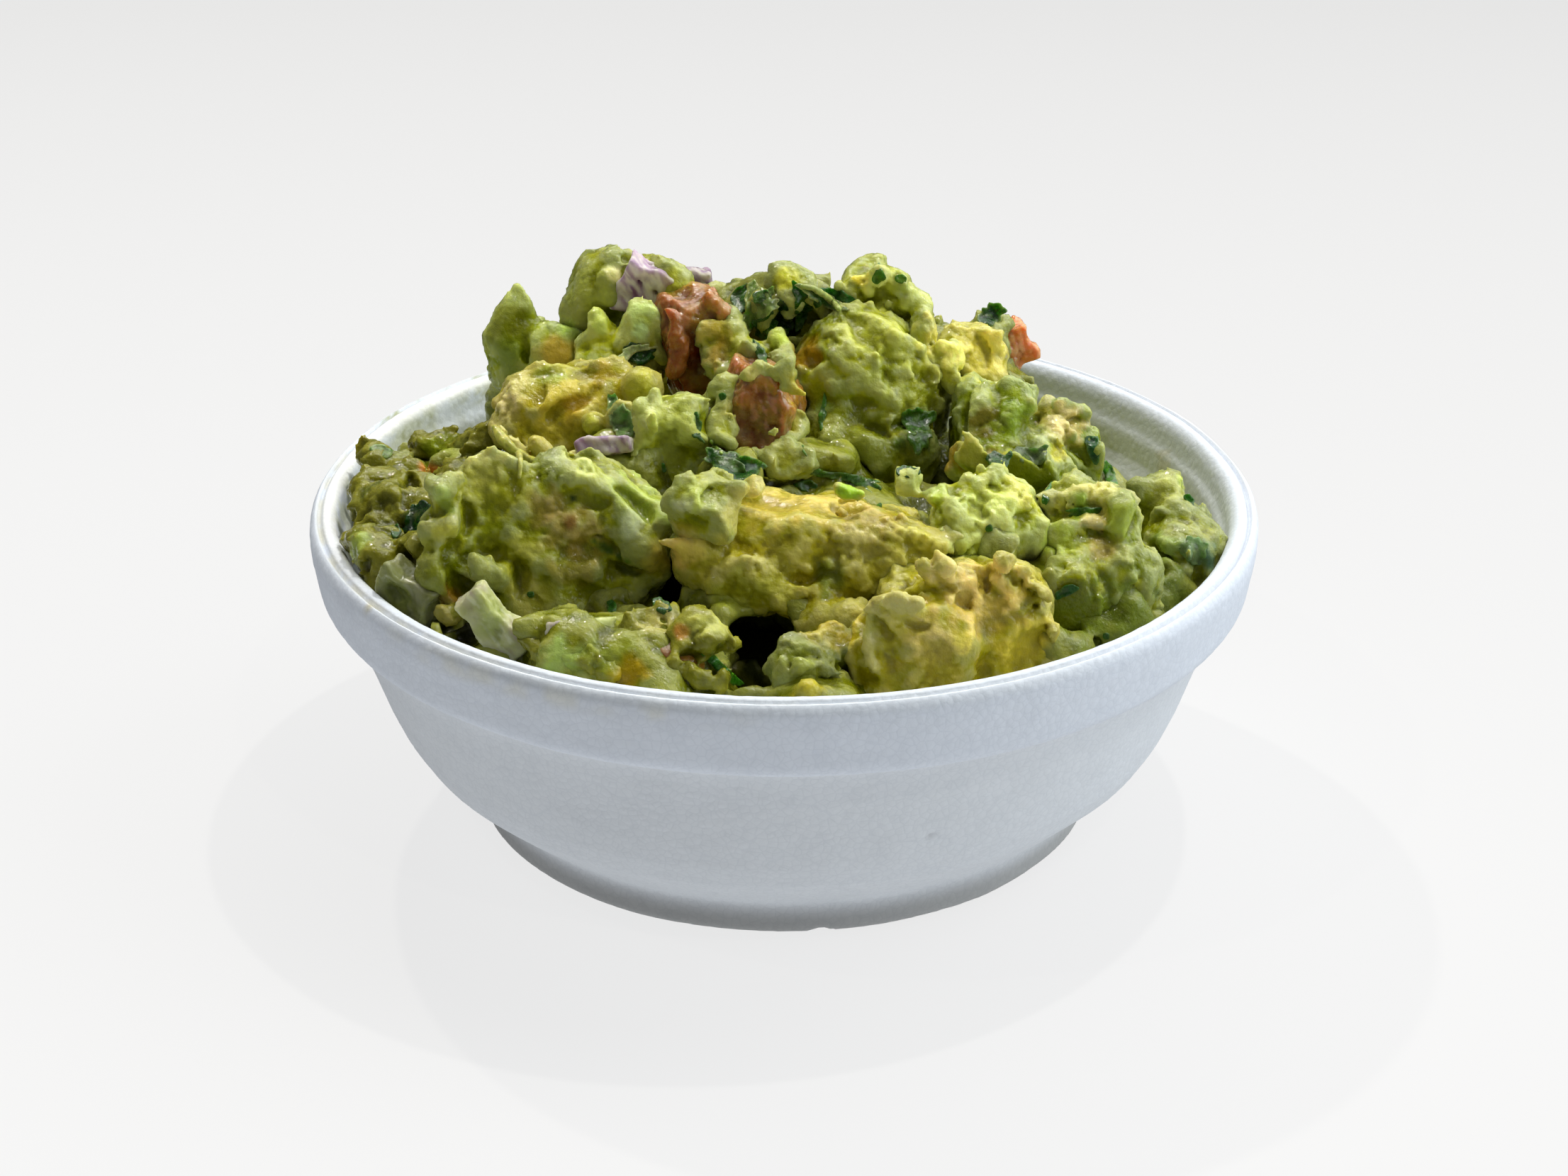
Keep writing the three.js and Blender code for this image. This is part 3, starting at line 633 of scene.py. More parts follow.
for u, v, r in ((1300, 552, 1.6), (1322, 566, 1.7), (1336, 590, 1.5), (1296, 576, 1.2), (1316, 538, 1.5), (1340, 566, 1.2)):
    p, n, _ = hit(u, v, ("avocado_4",))
    if p is not None:
        F.ball(p - n * 0.3, r, 0.6)
for pts in ([(1150, 590), (1160, 650)], [(1188, 585), (1196, 660)], [(1226, 585), (1232, 660)], [(1262, 600), (1262, 650)]):
    P = [hit(u, v, ("avocado_4",)) for u, v in pts]
    if all(p[0] is not None for p in P):
        F.path([p[0] - p[1] * 0.9 for p in P], 2.0, 1.2)
F.ball(at(1270, 569, -5), (0.5, 5, 0.5), 0.2, cut=True)
F.ball(at(1195, 656, -4), (8.2, 5.0, 7.0), 3.0, p=2.4)
F.ball(at(1270, 650, -2), (6.0, 5.0, 7.0), 3.0, p=2.4)
# its knobbly peak
F = A[5]
F.plane((0.0, -0.1, 1.0), at(1240, 392, 14), 1.5)
limb(F, [(1240, 396, 13), (1238, 384, 13), (1240, 374, 13)], [1.8, 1.2, 0.5], 0.8)
limb(F, [(1258, 398, 13), (1268, 388, 13), (1274, 394, 12)], [1.2, 1.0, 0.7], 0.4, tag=2)
limb(F, [(1180, 412, 15), (1196, 404, 14), (1212, 402, 14)], [1.5, 1.7, 1.6], 0.8)
limb(F, [(1290, 428, 12), (1306, 470, 8), (1322, 510, 6), (1340, 548, 4)], [1.7, 2.1, 2.1, 1.6], 2.0)
for u, v, y, r in ((1312, 452, 8, 1.3), (1322, 474, 7, 1.2), (1336, 492, 6, 1.3), (1344, 520, 5, 1.3), (1350, 546, 3, 1.2)):
    put(F, u, v, y, r, 0.5)
# bright block right of the middle
F = A[6]
limb(F, [(1432, 552, -3), (1434, 590, -7), (1430, 622, -9)], [2.3, 2.4, 1.8], 0.7, tag=2)
limb(F, [(1384, 548, -2), (1376, 580, -6), (1366, 616, -8)], [1.6, 1.8, 1.8], 0.6)
limb(F, [(1406, 566, -4), (1402, 600, -7)], [1.0, 1.0], 0.5)
limb(F, [(1384, 552, -2), (1384, 540, -2)], [0.9, 0.45], 0.4)
limb(F, [(1432, 548, -2), (1432, 538, -2)], [1.0, 0.5], 0.4)
limb(F, [(1478, 572, 0), (1500, 590, -2), (1516, 620, -4)], [2.0, 2.3, 2.0], 0.8, tag=3)
limb(F, [(1508, 585, -1), (1522, 576, -1)], [1.3, 0.5], 0.4, tag=3)
limb(F, [(1504, 610, -3), (1524, 626, -3)], [1.6, 1.3], 0.5, tag=3)
put(F, 1494, 642, -9, (2.2, 2.0, 2.2), 0.6)
put(F, 1370, 640, -14, (2.0, 1.7, 2.4), 0.8, (0, -20, 0))
put(F, 1386, 656, -14.5, (2.0, 1.7, 2.0), 0.8)
limb(F, [(1362, 628, -15), (1353, 617, -15.5)], [1.3, 0.4], 0.4, tag=9)
for u, v, y, r in ((1408, 664, -15, 2.2), (1428, 668, -15.5, 2.4), (1450, 664, -15, 2.3), (1472, 672, -15.5, 2.4), (1436, 686, -17, 2.8), (1466, 692, -18, 2.6)):
    put(F, u, v, y, (r, r * 0.9, r * 0.9), 1.0)
limb(F, [(1536, 622, 3), (1548, 650, 0), (1556, 682, -2)], [2.0, 2.4, 2.4], 1.4)
put(F, 1430, 652, -8, (9.5, 5.0, 5.2), 2.0, p=2.6)
put(F, 1512, 650, -3, (5.0, 4.5, 6.5), 2.0)
# crest and cut block on the right
F = A[7]
limb(F, [(1484, 704, -25), (1520, 700, -26), (1556, 704, -26), (1586, 706, -25)], [1.7, 1.8, 1.9, 2.0], 0.8, tag=9)
F.ball(at(1584, 732, -30.5), (2.5, 2.6, 3.8), 0.35, (0, 4, -24), p=5.0, tag=2)
limb(F, [(1456, 770, -30), (1484, 756, -30.5), (1514, 750, -31)], [0.6, 2.4, 2.4], 0.6)
limb(F, [(1496, 728, -32.5), (1548, 727, -33)], [0.9, 0.9], 0.5, cut=True)
put(F, 1542, 731, -30.5, (2.0, 1.4, 1.3), 0.4, tag=3)
limb(F, [(1528, 780, -31), (1552, 775, -31.5), (1584, 768, -31)], [1.2, 1.5, 1.0], 0.5, tag=3)
F.ball(at(1566, 796, -32), (0.55, 4, 0.55), 0.2, cut=True)
limb(F, [(1604, 776, -28), (1616, 812, -29), (1612, 850, -30)], [1.8, 2.0, 1.8], 0.9)
limb(F, [(1570, 800, -30), (1576, 850, -31)], [2.0, 2.2], 1.0)
put(F, 1506, 800, -31, (3.4, 2.6, 2.6), 1.0)
put(F, 1530, 850, -33, (3.6, 2.6, 2.6), 1.0)
F.ball(at(1545, 838, -32), (9.8, 5.5, 8.8), 2.0, (0, 0, 22), p=3.0)
for x in (1484, 1512, 1546, 1578, 1608):
    P = [hit(x + a, v, ("avocado_7",)) for a, v in ((0, 778), (5, 812), (2, 850), (-2, 886))]
    P = [p[0] - p[1] * 0.5 for p in P if p[0] is not None]
    if len(P) > 1:
        F.path(P, [1.2, 1.8, 2.0, 1.9][:len(P)], 0.9)
# the last one before the rim
F = A[8]
F.ball(at(1668, 806, -16), (6.5, 5.5, 8.8), 2.0, (0, 0, 30), p=2.8)
for x in (1640, 1664, 1690):
    P = [hit(x + a, v, ("avocado_8",)) for a, v in ((0, 740), (6, 780), (2, 830))]
    P = [p[0] - p[1] * 0.5 for p in P if p[0] is not None]
    if len(P) > 1:
        F.path(P, 1.5, 0.9)
put(F, 1626, 694, -8, (3.8, 3.6, 3.4), 1.2)
put(F, 1668, 684, -7, 1.5, 0.3, tag=1)
limb(F, [(1648, 700, -8), (1680, 724, -9), (1700, 746, -9)], [2.2, 2.2, 1.8], 0.9)
for x in (1632, 1650, 1668):
    limb(F, [(x, 724, -14), (x + 8, 770, -18), (x - 2, 812, -20)], [1.4, 1.7, 1.5], 0.6)
F.ball(at(1718, 758, -9), (1.4, 0.9, 1.5), 0.3, (0, 30, 20), p=4.0, tag=9)
# golden chunk at the back left
F = A[9]
F.plane((0.05, -0.42, 0.9), at(790, 560, -2), 1.4)
P = [hit(u, v, ("avocado_9",)) for u, v in ((776, 590), (790, 576), (816, 562), (846, 548))]
F.path([p[0] - p[1] * 0.2 for p in P if p[0] is not None], [1.1, 1.2, 1.0, 0.6], 0.7, cut=True)
limb(F, [(732, 540, 4), (760, 524, 5), (796, 530, 5), (840, 520, 5), (870, 520, 5)], [1.4, 1.6, 1.5, 1.6, 1.8], 0.8)
put(F, 836, 600, -7, (2.1, 1.8, 2.1), 0.6)
put(F, 908, 548, 0, (3.0, 3.0, 3.0), 0.8, p=3.0)
put(F, 876, 590, -8, (2.4, 1.6, 3.6), 0.8)
limb(F, [(707, 603, -9), (720, 622, -11), (748, 645, -12.5), (780, 656, -13.5), (808, 658, -14)], [0.9, 1.3, 1.5, 1.5, 1.2], 0.4, tag=9)
limb(F, [(738, 622, -11), (764, 628, -12), (790, 640, -13), (812, 644, -14)], [0.9, 1.2, 1.2, 0.9], 0.35, tag=9)
limb(F, [(730, 640, -12.5), (735, 668, -13.5)], [0.7, 0.5], 0.3, tag=9)
F = A[10]
put(F, 930, 584, -11, (3.6, 3.0, 2.4), 1.0)
put(F, 972, 580, -10, (3.0, 3.0, 2.4), 1.0)
limb(F, [(908, 600, -13), (905, 640, -14.5)], [1.8, 1.9], 1.2)
put(F, 920, 600, -15.5, (1.5, 1.2, 2.2), 0.8)
put(F, 882, 650, -15, (3.0, 1.8, 1.3), 1.2, (0, 4, 0), tag=9)
# smooth lobe with the onion, and the pointed slice beside it
F = A[11]
F.plane((-0.83, -0.15, 0.54), at(812, 390, 24), 0.9)
F.plane((-0.3, -0.1, 0.95), at(862, 350, 26), 1.2)
limb(F, [(866, 362, 24), (858, 392, 20.5), (862, 420, 19.5)], [1.1, 1.3, 1.2], 0.7)
limb(F, [(930, 366, 21.5), (944, 384, 20.5), (956, 402, 20), (966, 424, 19)], [1.5, 2.1, 2.6, 2.6], 1.0)
put(F, 972, 404, 21, (1.3, 1.3, 1.3), 0.6)
limb(F, [(868, 368, 24), (900, 370, 24), (930, 382, 23)], [1.7, 1.8, 1.6], 1.2)
put(F, 905, 388, 25.5, (5.2, 3.4, 3.0), 2.0)
F.plane((0.1, 0.2, 0.97), at(880, 352, 25), 1.0)
limb(F, [(884, 372, 19.5), (868, 408, 18), (872, 444, 17.5)], [0.8, 0.9, 0.9], 0.5, cut=True)
F = A[12]
F.d[...] = np.maximum(F.d, 2.0)
limb(F, [(722, 512, 24), (716, 480, 24), (722, 452, 24), (729, 430, 24), (731, 408, 24)], [3.8, 3.7, 2.9, 1.8, 0.8], 1.0)
limb(F, [(738, 500, 24), (745, 462, 24), (742, 440, 24)], [3.4, 2.2, 1.2], 0.8)
limb(F, [(748, 480, 23), (780, 474, 22), (822, 458, 20)], [2.6, 2.2, 1.0], 1.0)
put(F, 785, 500, 20, (5.6, 4.0, 3.6), 2.6)
put(F, 730, 520, 24, (4.5, 5, 5), 1.5)
limb(F, [(728, 434, 19.5), (737, 470, 19), (742, 506, 19.2)], [0.5, 0.8, 0.9], 0.5, cut=True)
# bright pointed lumps between them and the tomato
F = bits("bits_lime", (-40, 4, 58), (-12, 28, 88))
limb(F, [(846, 500, 16), (846, 470, 16), (844, 450, 16), (843, 438, 16)], [3.6, 2.7, 1.5, 0.6], 0.8)
limb(F, [(822, 478, 16), (838, 490, 16)], [1.6, 2.4], 0.8)
limb(F, [(905, 500, 14), (905, 460, 14), (902, 430, 14)], [3.2, 2.9, 1.8], 0.9)
limb(F, [(922, 446, 13), (920, 480, 12.5)], [1.7, 1.5], 0.6)
limb(F, [(862, 492, 14), (884, 484, 13)], [2.2, 2.2], 0.8)
put(F, 870, 520, 13, (7, 4, 3.5), 1.5)
# low in front
F = A[13]
limb(F, [(1084, 940, -56), (1112, 922, -56), (1142, 904, -55)], [0.7, 1.3, 1.6], 0.9)
put(F, 1158, 906, -54, (1.8, 1.7, 1.7), 0.9)
put(F, 1120, 955, -58, (4.0, 2.4, 2.6), 1.0)
F = A[15]
limb(F, [(1252, 686, -26), (1292, 668, -26), (1314, 690, -27), (1344, 700, -27)], [1.8, 1.7, 1.8, 1.9], 0.8)
put(F, 1326, 698, -29, (2.6, 1.5, 1.7), 0.35, (0, 28, 0), tag=2)
put(F, 1400, 690, -28, (4.0, 3.0, 2.8), 1.2)
put(F, 1360, 770, -33, (3.6, 2.6, 2.8), 1.0)
put(F, 1420, 780, -32, (3.4, 2.6, 3.0), 1.0)
F.ball(at(1394, 742, -30.5), (8.4, 4.6, 6.0), 2.0, (0, 12, 10), p=2.8)
F.plane((0.12, -0.74, 0.66), at(1394, 738, -35), 0.8)

for u, v, r in HOLLOWS:
    p, n, _ = hit(u, v, ("mash",))
    if p is not None:
        d = ray(u, v)
        for t in (0.0, 0.8, 1.6):
            M.ball(p + d * r * t, r, 1.0, cut=True)

# heaps of small mash in front of and beside the chunks
F = bits("bits_front", (-46, -72, 34), (-2, -42, 60))
for u, v, y, r in (
    (975, 880, -53, 2.9), (1003, 876, -53, 2.7), (1022, 904, -55, 2.5), (998, 900, -56, 2.3), (940, 866, -51, 2.2),
    (915, 884, -53, 2.5), (925, 906, -55, 2.2), (960, 905, -56, 2.2), (905, 868, -51, 1.9), (1008, 940, -58, 2.0),
    (880, 900, -54, 2.6), (850, 918, -56, 3.0), (812, 926, -57, 3.0), (785, 906, -55, 2.6), (830, 896, -53.5, 2.2),
    (890, 930, -57, 2.6), (930, 940, -58, 2.6), (1000, 965, -59, 2.2), (770, 925, -56, 2.6), (860, 945, -58.5, 2.4),
    (980, 955, -59.5, 2.3), (748, 902, -53.5, 2.0),
):
    put(F, u, v + 4, y, (r, r * 0.9, r * 0.75), 1.2)
limb(F, [(985, 878, -54.5), (984, 905, -56)], [1.0, 1.2], 0.5)
F = bits("bits_left", (-73, -54, 34), (-40, 26, 66))
for u, v, y, r in (
    (520, 720, -14, 3.2), (552, 706, -15, 3.0), (530, 745, -18, 2.8), (565, 735, -18, 2.6), (548, 770, -24, 3.0),
    (576, 800, -30, 2.8), (520, 690, -8, 2.6), (548, 680, -6, 2.4), (590, 690, -10, 2.8), (600, 720, -18, 2.6),
    (612, 632, 8, 2.6), (638, 640, 6, 2.4), (585, 640, 10, 2.0), (640, 672, -4, 2.8), (505, 770, -22, 2.2),
    (540, 800, -30, 2.4), (575, 668, -2, 2.2), (655, 652, 2, 2.6), (668, 632, 4, 2.6), (690, 620, 2, 2.8),
    (560, 650, 4, 2.0), (525, 660, 2, 2.4), (515, 635, 8, 2.2), (535, 650, 6, 2.0), (592, 770, -31, 2.0),
):
    put(F, u, v - 3, y, (r * 1.1, r, r * 0.8), 2.4)
F.ball(at(590, 772, -33), (1.7, 1.6, 1.5), 0.3, (10, 20, 30), p=4.5, tag=1)
F.ball(at(602, 785, -34), (1.5, 1.5, 1.4), 0.3, (30, 10, 50), p=4.5)
F.ball(at(630, 866, -43), (1.5, 1.5, 1.5), 0.3, (30, 10, 50), p=4.5, tag=3)
limb(F, [(512, 756, -24), (518, 772, -27), (526, 788, -30), (536, 800, -33)], [1.4, 1.6, 1.5, 1.2], 2.0)

F = bits("bits_back", (24, 16, 52), (48, 44, 82))
for u, v, y, r in ((1412, 464, 27.5, 1.7), (1412, 484, 27, 1.6),(1396, 452, 28, 2.3), (1388, 466, 27, 2.8), (1404, 474, 27, 2.6), (1380, 484, 26, 3.2), (1400, 496, 27, 3.4), (1366, 500, 25, 3.4), (1372, 520, 24, 4), (1400, 520, 26, 3.4)):
    put(F, u, v, y, (r, r, r), 0.8)
# small chunks on the far side, between the large ones


NEAR_CAM, FAR_CAM = CAM, CAM * (-1, -1, 1)


def hidden(P):
    """Whether the food in front of a point hides it from the near side."""
    D = P - NEAR_CAM
    T = np.linspace(0.75, 1 - 5.0 / np.linalg.norm(D), 150)
    Q_ = NEAR_CAM + T[:, None] * D
    return any((G.at(Q_) < 0).any() for n_, G in FIELDS.items() if n_ != "bits_far")


F = Field((-64, 10, 36), (64, 68, 76), 0.68)
FIELDS["bits_far"] = F
rf = np.random.default_rng(414)
spots_ = []
for _ in range(1500):
    x, y, r_ = rf.uniform(-62, 62), rf.uniform(14, 64), 1.5 + 2.6 * rf.random() ** 1.4
    if x * x + y * y > (66.5 - r_) ** 2 or any((x - a) ** 2 + (y - b) ** 2 < (0.9 * (r_ + c)) ** 2 for a, b, c in spots_):
        continue
    Zs = np.arange(36, 76, 0.4)
    f = M.at(np.stack([np.full(len(Zs), x), np.full(len(Zs), y), Zs], 1))
    if not (f < 0).any():
        continue
    z = Zs[np.flatnonzero(f < 0)[-1]]
    if not hidden(np.array([x, y, z + 1.3 * r_])):
        continue
    spots_.append((x, y, r_))
    F.ball((x, y, z + 0.1 * r_), (r_ * rf.uniform(1.0, 1.3), r_ * rf.uniform(0.85, 1.05), r_ * rf.uniform(0.7, 0.95)), 1.2,
           (rf.uniform(-30, 30), rf.uniform(-30, 30), rf.uniform(0, 90)), p=rf.uniform(2.2, 4.5))
# diced tomato and onion
TOP_H = 0.37
for name in BLOCKS:
    if name[0] in "to":
        block(name, h=TOP_H, warp=(0.35, 5.0), grow=-0.1, room=3.0)
F = FIELDS["tomato_1"]
F.plane((-0.75, -0.45, 0.45), at(940, 470, 9), 0.5)
limb(F, [(950, 440, 8), (958, 480, 7), (956, 520, 6)], [1.2, 1.5, 1.8], 0.5)
F.path([at(985, 430, 8), at(990, 470, 6.5), at(984, 500, 6)], 0.8, 0.5, cut=True)
limb(F, [(1000, 425, 10), (1018, 440, 9)], [1.5, 1.6], 0.5)
F = FIELDS["tomato_2"]
F.ball(at(1090, 612, -12), (1.8, 2.4, 1.7), 0.4, cut=True)
F.ball(at(1050, 585, -12), (2.2, 1.6, 1.6), 0.6, cut=True)
F.plane((0.1, -0.95, 0.3), at(1070, 590, -10.3), 0.6)
F.plane((-0.75, -0.3, 0.6), at(1046, 556, -9), 0.8)
F.plane((0.8, -0.2, 0.55), at(1104, 560, -9), 0.8)
F.plane((-0.6, -0.7, -0.4), at(1048, 630, -11), 0.8)
F.plane((0.85, -0.5, -0.2), at(1112, 610, -10.5), 0.8)
F.path([at(1066, 540, -9.4), at(1062, 566, -10), at(1068, 600, -10.8)], 0.7, 0.5, cut=True)
F.path([at(1058, 592, -10.4), at(1052, 612, -11), at(1050, 630, -11.6)], 0.55, 0.3, cut=True)
F.path([at(1076, 585, -10.2), at(1072, 606, -11), at(1070, 626, -11.6)], 0.5, 0.3, cut=True)
F.path([at(1086, 548, -9.4), at(1096, 566, -9.6), at(1100, 584, -9.9)], 0.5, 0.4, cut=True)
F = FIELDS["onion_1"]
F.path([at(900, 372, 20), at(905, 400, 18.5), at(915, 440, 17)], 0.45, 0.3, cut=True)
F.path([at(918, 366, 20), at(926, 400, 18.5), at(934, 436, 17)], 0.4, 0.3, cut=True)
F = FIELDS["onion_2"]
F.plane((-0.55, -0.5, 0.65), at(672, 842, -52), 0.3)
F = FIELDS["onion_3"]
F.plane((-0.2, -0.3, 0.9), at(590, 812, -42), 0.4)
F = FIELDS["onion_5"]
F.path([at(798, 880, -56), at(816, 877, -56), at(836, 874, -56)], [0.3, 0.55, 0.3], 0.2, cut=True)
# small dice on the far side
CAM, SIDE = FAR_CAM, np.array((-1.0, -1.0, 1.0))
for name, dice in (
    ("chips_onion", ((760, 700, 2.0), (930, 800, 1.7), (1120, 690, 2.1), (1270, 840, 1.8), (1420, 720, 2.2), (1010, 590, 1.8), (1500, 860, 1.6), (640, 640, 1.7))),
    ("chips_tomato", ((850, 620, 2.0), (1180, 800, 1.9), (1360, 640, 2.1), (700, 790, 1.7), (1060, 880, 1.6))),
):
    P = []
    for u, v, q in dice:
        p, n, _ = hit(u, v)
        if p is not None and p[1] > 14 and hidden(p + (0, 0, 2.5)):
            P.append((p - n * 0.2 * q, q))
    if not P:
        continue
    C_ = np.array([p for p, q in P])
    F = Field(C_.min(0) - 4, C_.max(0) + 4, 0.42)
    for p, q in P:
        T = np.linalg.qr(rf.standard_normal((3, 3)))[0].astype(np.float32)
        F.ball(p, q * np.array([1.15, 0.75, 0.95]), 0.2, T, p=5.0)
    FIELDS[name] = F
CAM, SIDE = NEAR_CAM, np.ones(3)
# mash that clings to the tomato and around the herbs
F = bits("bits_top", (-18, -22, 58), (8, 34, 88))
put(F, 1010, 412, 27, (2.4, 2.0, 1.9), 0.6, tag=1)
for u, v, y, r in (
    (1000, 468, 8.5, 2.8), (1022, 448, 10, 2.5), (1032, 476, 7, 2.6), (1012, 500, 5.5, 2.3), (1046, 492, 5, 2.4), (1034, 512, 4, 2.2),
    (1024, 530, 2, 2.4), (1060, 500, 3, 2.4), (1006, 520, 4, 1.8), (1030, 460, 9, 2.4), (1046, 474, 7, 2.2), (1000, 488, 7, 1.5), (1012, 560, -3, 2.0),
    (1057, 527, -7.5, 1.4), (1068, 524, -7.2, 1.1), (1098, 524, -7.2, 1.2), (1108, 534, -7.4, 0.9),
    (1040, 552, -9, 1.0), (1042, 566, -9.5, 0.8), (1036, 580, -10, 0.9),
    (1092, 638, -14, 1.6), (1106, 624, -13, 1.4), (1078, 645, -14.5, 1.5), (1060, 640, -14, 1.3), (1013, 620, -13, 1.5), (1030, 628, -13.5, 1.2),
    (1097, 478, 5, 1.6), (1108, 494, 3.5, 1.9), (1104, 512, 1, 2.0), (1086, 498, 4, 1.2), (1112, 530, -1, 1.8),
    (1112, 395, 14, 3.0), (1102, 384, 14.5, 1.8), (1130, 400, 13, 2.6), (1118, 420, 12, 2.8), (1140, 412, 13, 2.0), (1090, 400, 14, 1.6),
    (1090, 610, -15, 0.9), (1028, 560, -6.5, 1.8), (1024, 584, -8.5, 2.0), (1026, 606, -10, 2.0), (1122, 600, -5.5, 2.2), (1116, 622, -8.5, 2.2), (1020, 548, -5, 2.4),
    (1014, 604, -10, 2.2), (1082, 522, -7.4, 0.8), (1046, 536, -7.6, 0.9),
):
    put(F, u, v, y, (r, r, r * 0.95), 0.6)
limb(F, [(1106, 548, -8.5), (1120, 553, -9), (1134, 556, -9.5)], [0.7, 0.6, 0.55], 0.3)
limb(F, [(1100, 522, -7), (1104, 512, -7)], [0.8, 0.4], 0.3)
limb(F, [(1102, 660, -16), (1130, 650, -15)], [2.2, 2.6], 1.0)
stamp_time("sculpted")


# ---------------------------------------------------------------- texture of the food
def spot(u, v, r, s=1.0, to=None, only=None):
    p, n, _ = hit(u, v, only)
    if p is not None:
        (CALM if to is None else to).append((p, r, s))


def weight(P, spots):
    w = np.zeros(len(P), np.float32)
    for p, r, s in spots:
        q = np.abs(P - np.asarray(p, np.float32)).max(1) < r * 1.1
        if q.any():
            D = np.linalg.norm(P[q] - p, axis=1)
            w[q] = np.maximum(w[q], s * smooth(1.0, 0.6, D / r))
    return w


for u, v, r in ((880, 705, 6.0), (920, 715, 5), (850, 690, 4), (920, 790, 5), (740, 850, 7), (790, 840, 6), (690, 850, 5), (635, 810, 4),
                (1070, 720, 6), (1120, 722, 6), (1170, 722, 5), (970, 790, 5),
                (1330, 880, 6), (1380, 900, 6), (1440, 920, 5), (1350, 930, 5), (830, 400, 8), (850, 430, 6), (720, 470, 8), (745, 500, 6),
                (780, 560, 6), (820, 590, 5), (860, 540, 5), (930, 600, 5), (950, 630, 5), (1584, 735, 5), (840, 480, 5), (905, 460, 5),
                (1190, 620, 5), (1230, 640, 5), (1150, 560, 4), (780, 500, 6), (1165, 870, 4), (626, 751, 2.4)):
    spot(u, v, r)
for u, v, r in ((690, 665, 4), (830, 655, 4), (800, 670, 3), (1270, 780, 7), (1230, 800, 6), (1180, 770, 5), (1320, 820, 5), (1400, 815, 6),
                (1450, 830, 5), (715, 565, 4), (1240, 410, 6), (1500, 600, 5), (1380, 740, 7), (1420, 700, 5), (1540, 695, 4), (1150, 930, 6),
                (1320, 500, 5), (1090, 535, 5), (1340, 600, 5), (1480, 670, 6), (1400, 670, 5)):
    spot(u, v, r, 1.0, ROUGH)


def near_field(F, spots):
    return [(p, r, s) for p, r, s in spots if (p > F.lo - r).all() and (p < F.hi + r).all()]


A_NAMES = {n for n in BLOCKS if n.startswith("avocado")}


STIFF = {"avocado_12": 0.4, "avocado_11": 0.5, "bits_lime": 0.6, "avocado_1": 0.75, "avocado_2": 0.6, "avocado_3": 0.6, "bits_left": 0.7, "avocado_9": 0.5, "avocado_4": 0.8, "bits_top": 0.5}


CUTS = {"bits_top": 60, "avocado_11": 90, "avocado_12": 90, "bits_lime": 60, "avocado_14": 45, "avocado_10": 36, "avocado_9": 40, "avocado_1": 26,
        "avocado_4": 40, "avocado_5": 30, "avocado_2": 26}


def dress(name, F):
    seed = sum(map(ord, name)) * 7
    r = np.random.default_rng(seed)
    if name[0] in "toc":
        F.wring([(0.5, 6.0)], seed + 31)
        lumpy(F, 0.10, 2.6, seed, "soft")
        if name[0] == "t":
            lumpy(F, 0.12, 1.2, seed + 1, "soft")
        return
    g = STIFF.get(name, 1.0)
    F.wring([(0.9 * g, 7.5), (0.2 * g, 3.2)] if name in A_NAMES else [(0.8 * g, 5.0), (0.25 * g, 2.6)], seed + 31)
    lumpy(F, 0.4 * g, 9.0, seed + 1, "soft", 3.0)
    area = float((np.abs(F.d) < 0.5 * F.h).sum()) * F.h ** 2
    cuts = F.facets(int(area / CUTS.get(name, 20)), r)
    smooth_ = near_field(F, CALM) + [(c, 0.6 * R, 0.4) for c, R in cuts[::3]]
    crumbly = near_field(F, ROUGH)
    # patches of soft bumps, with smooth flesh between them
    idx, P = F.band(2.4)
    calm, rough = weight(P, smooth_), weight(P, crumbly)
    patch = np.clip(smooth(-0.55, 0.45, noise(P, 11, seed + 9)) + rough, 0.15, 1.25) * (1 - 0.85 * calm)
    n = noise(P, 3.6, seed + 2)
    bump = 0.32 * (np.sqrt(np.minimum(n * n * 1.6, 1.0) + 0.05) - 0.5)
    n = noise(P, 1.9, seed + 4)
    small_ = 0.33 * (np.sqrt(np.minimum(n * n * 1.6, 1.0) + 0.05) - 0.5)
    n = noise(P, 2.3, seed + 5)
    knob = 0.32 * (np.sqrt(np.minimum(n * n * 1.6, 1.0) + 0.03) - 0.5)
    gran = 0.24 * noise(P, 1.45, seed + 6) * np.clip(rough + 0.7, 0, 1.2)
    F.d.reshape(-1)[idx] -= (patch * (bump + small_) + (gran + knob) * (1 - 0.8 * calm)).astype(np.float32)
    P, N = F.skin(int(len(idx) * F.h ** 3 / 4.8 / 90), r)
    if len(P):
        ok = weight(P, smooth_) < 0.3
        for p, n in zip(P[ok], N[ok]):
            q = 0.7 + 1.2 * r.random() ** 2
            T = np.linalg.qr(r.standard_normal((3, 3)))[0].astype(np.float32)
            F.ball(p + n * q * r.uniform(-0.5, 0.1), q * np.array([1.25, r.uniform(0.7, 1), r.uniform(0.6, 0.9)]), 0.6, T)
    if crumbly:
        P, N = F.skin(int(len(idx) * F.h ** 3 / 4.8 / 5), r)
        if len(P):
            ok = r.random(len(P)) < weight(P, crumbly)
            for p, n in zip(P[ok], N[ok]):
                q = 0.45 + 0.5 * r.random() ** 2
                T = np.linalg.qr(r.standard_normal((3, 3)))[0].astype(np.float32)
                F.ball(p + n * q * r.uniform(-0.5, 0.15), q * np.array([1.4, r.uniform(0.7, 1), r.uniform(0.7, 1)]), 0.5, T)


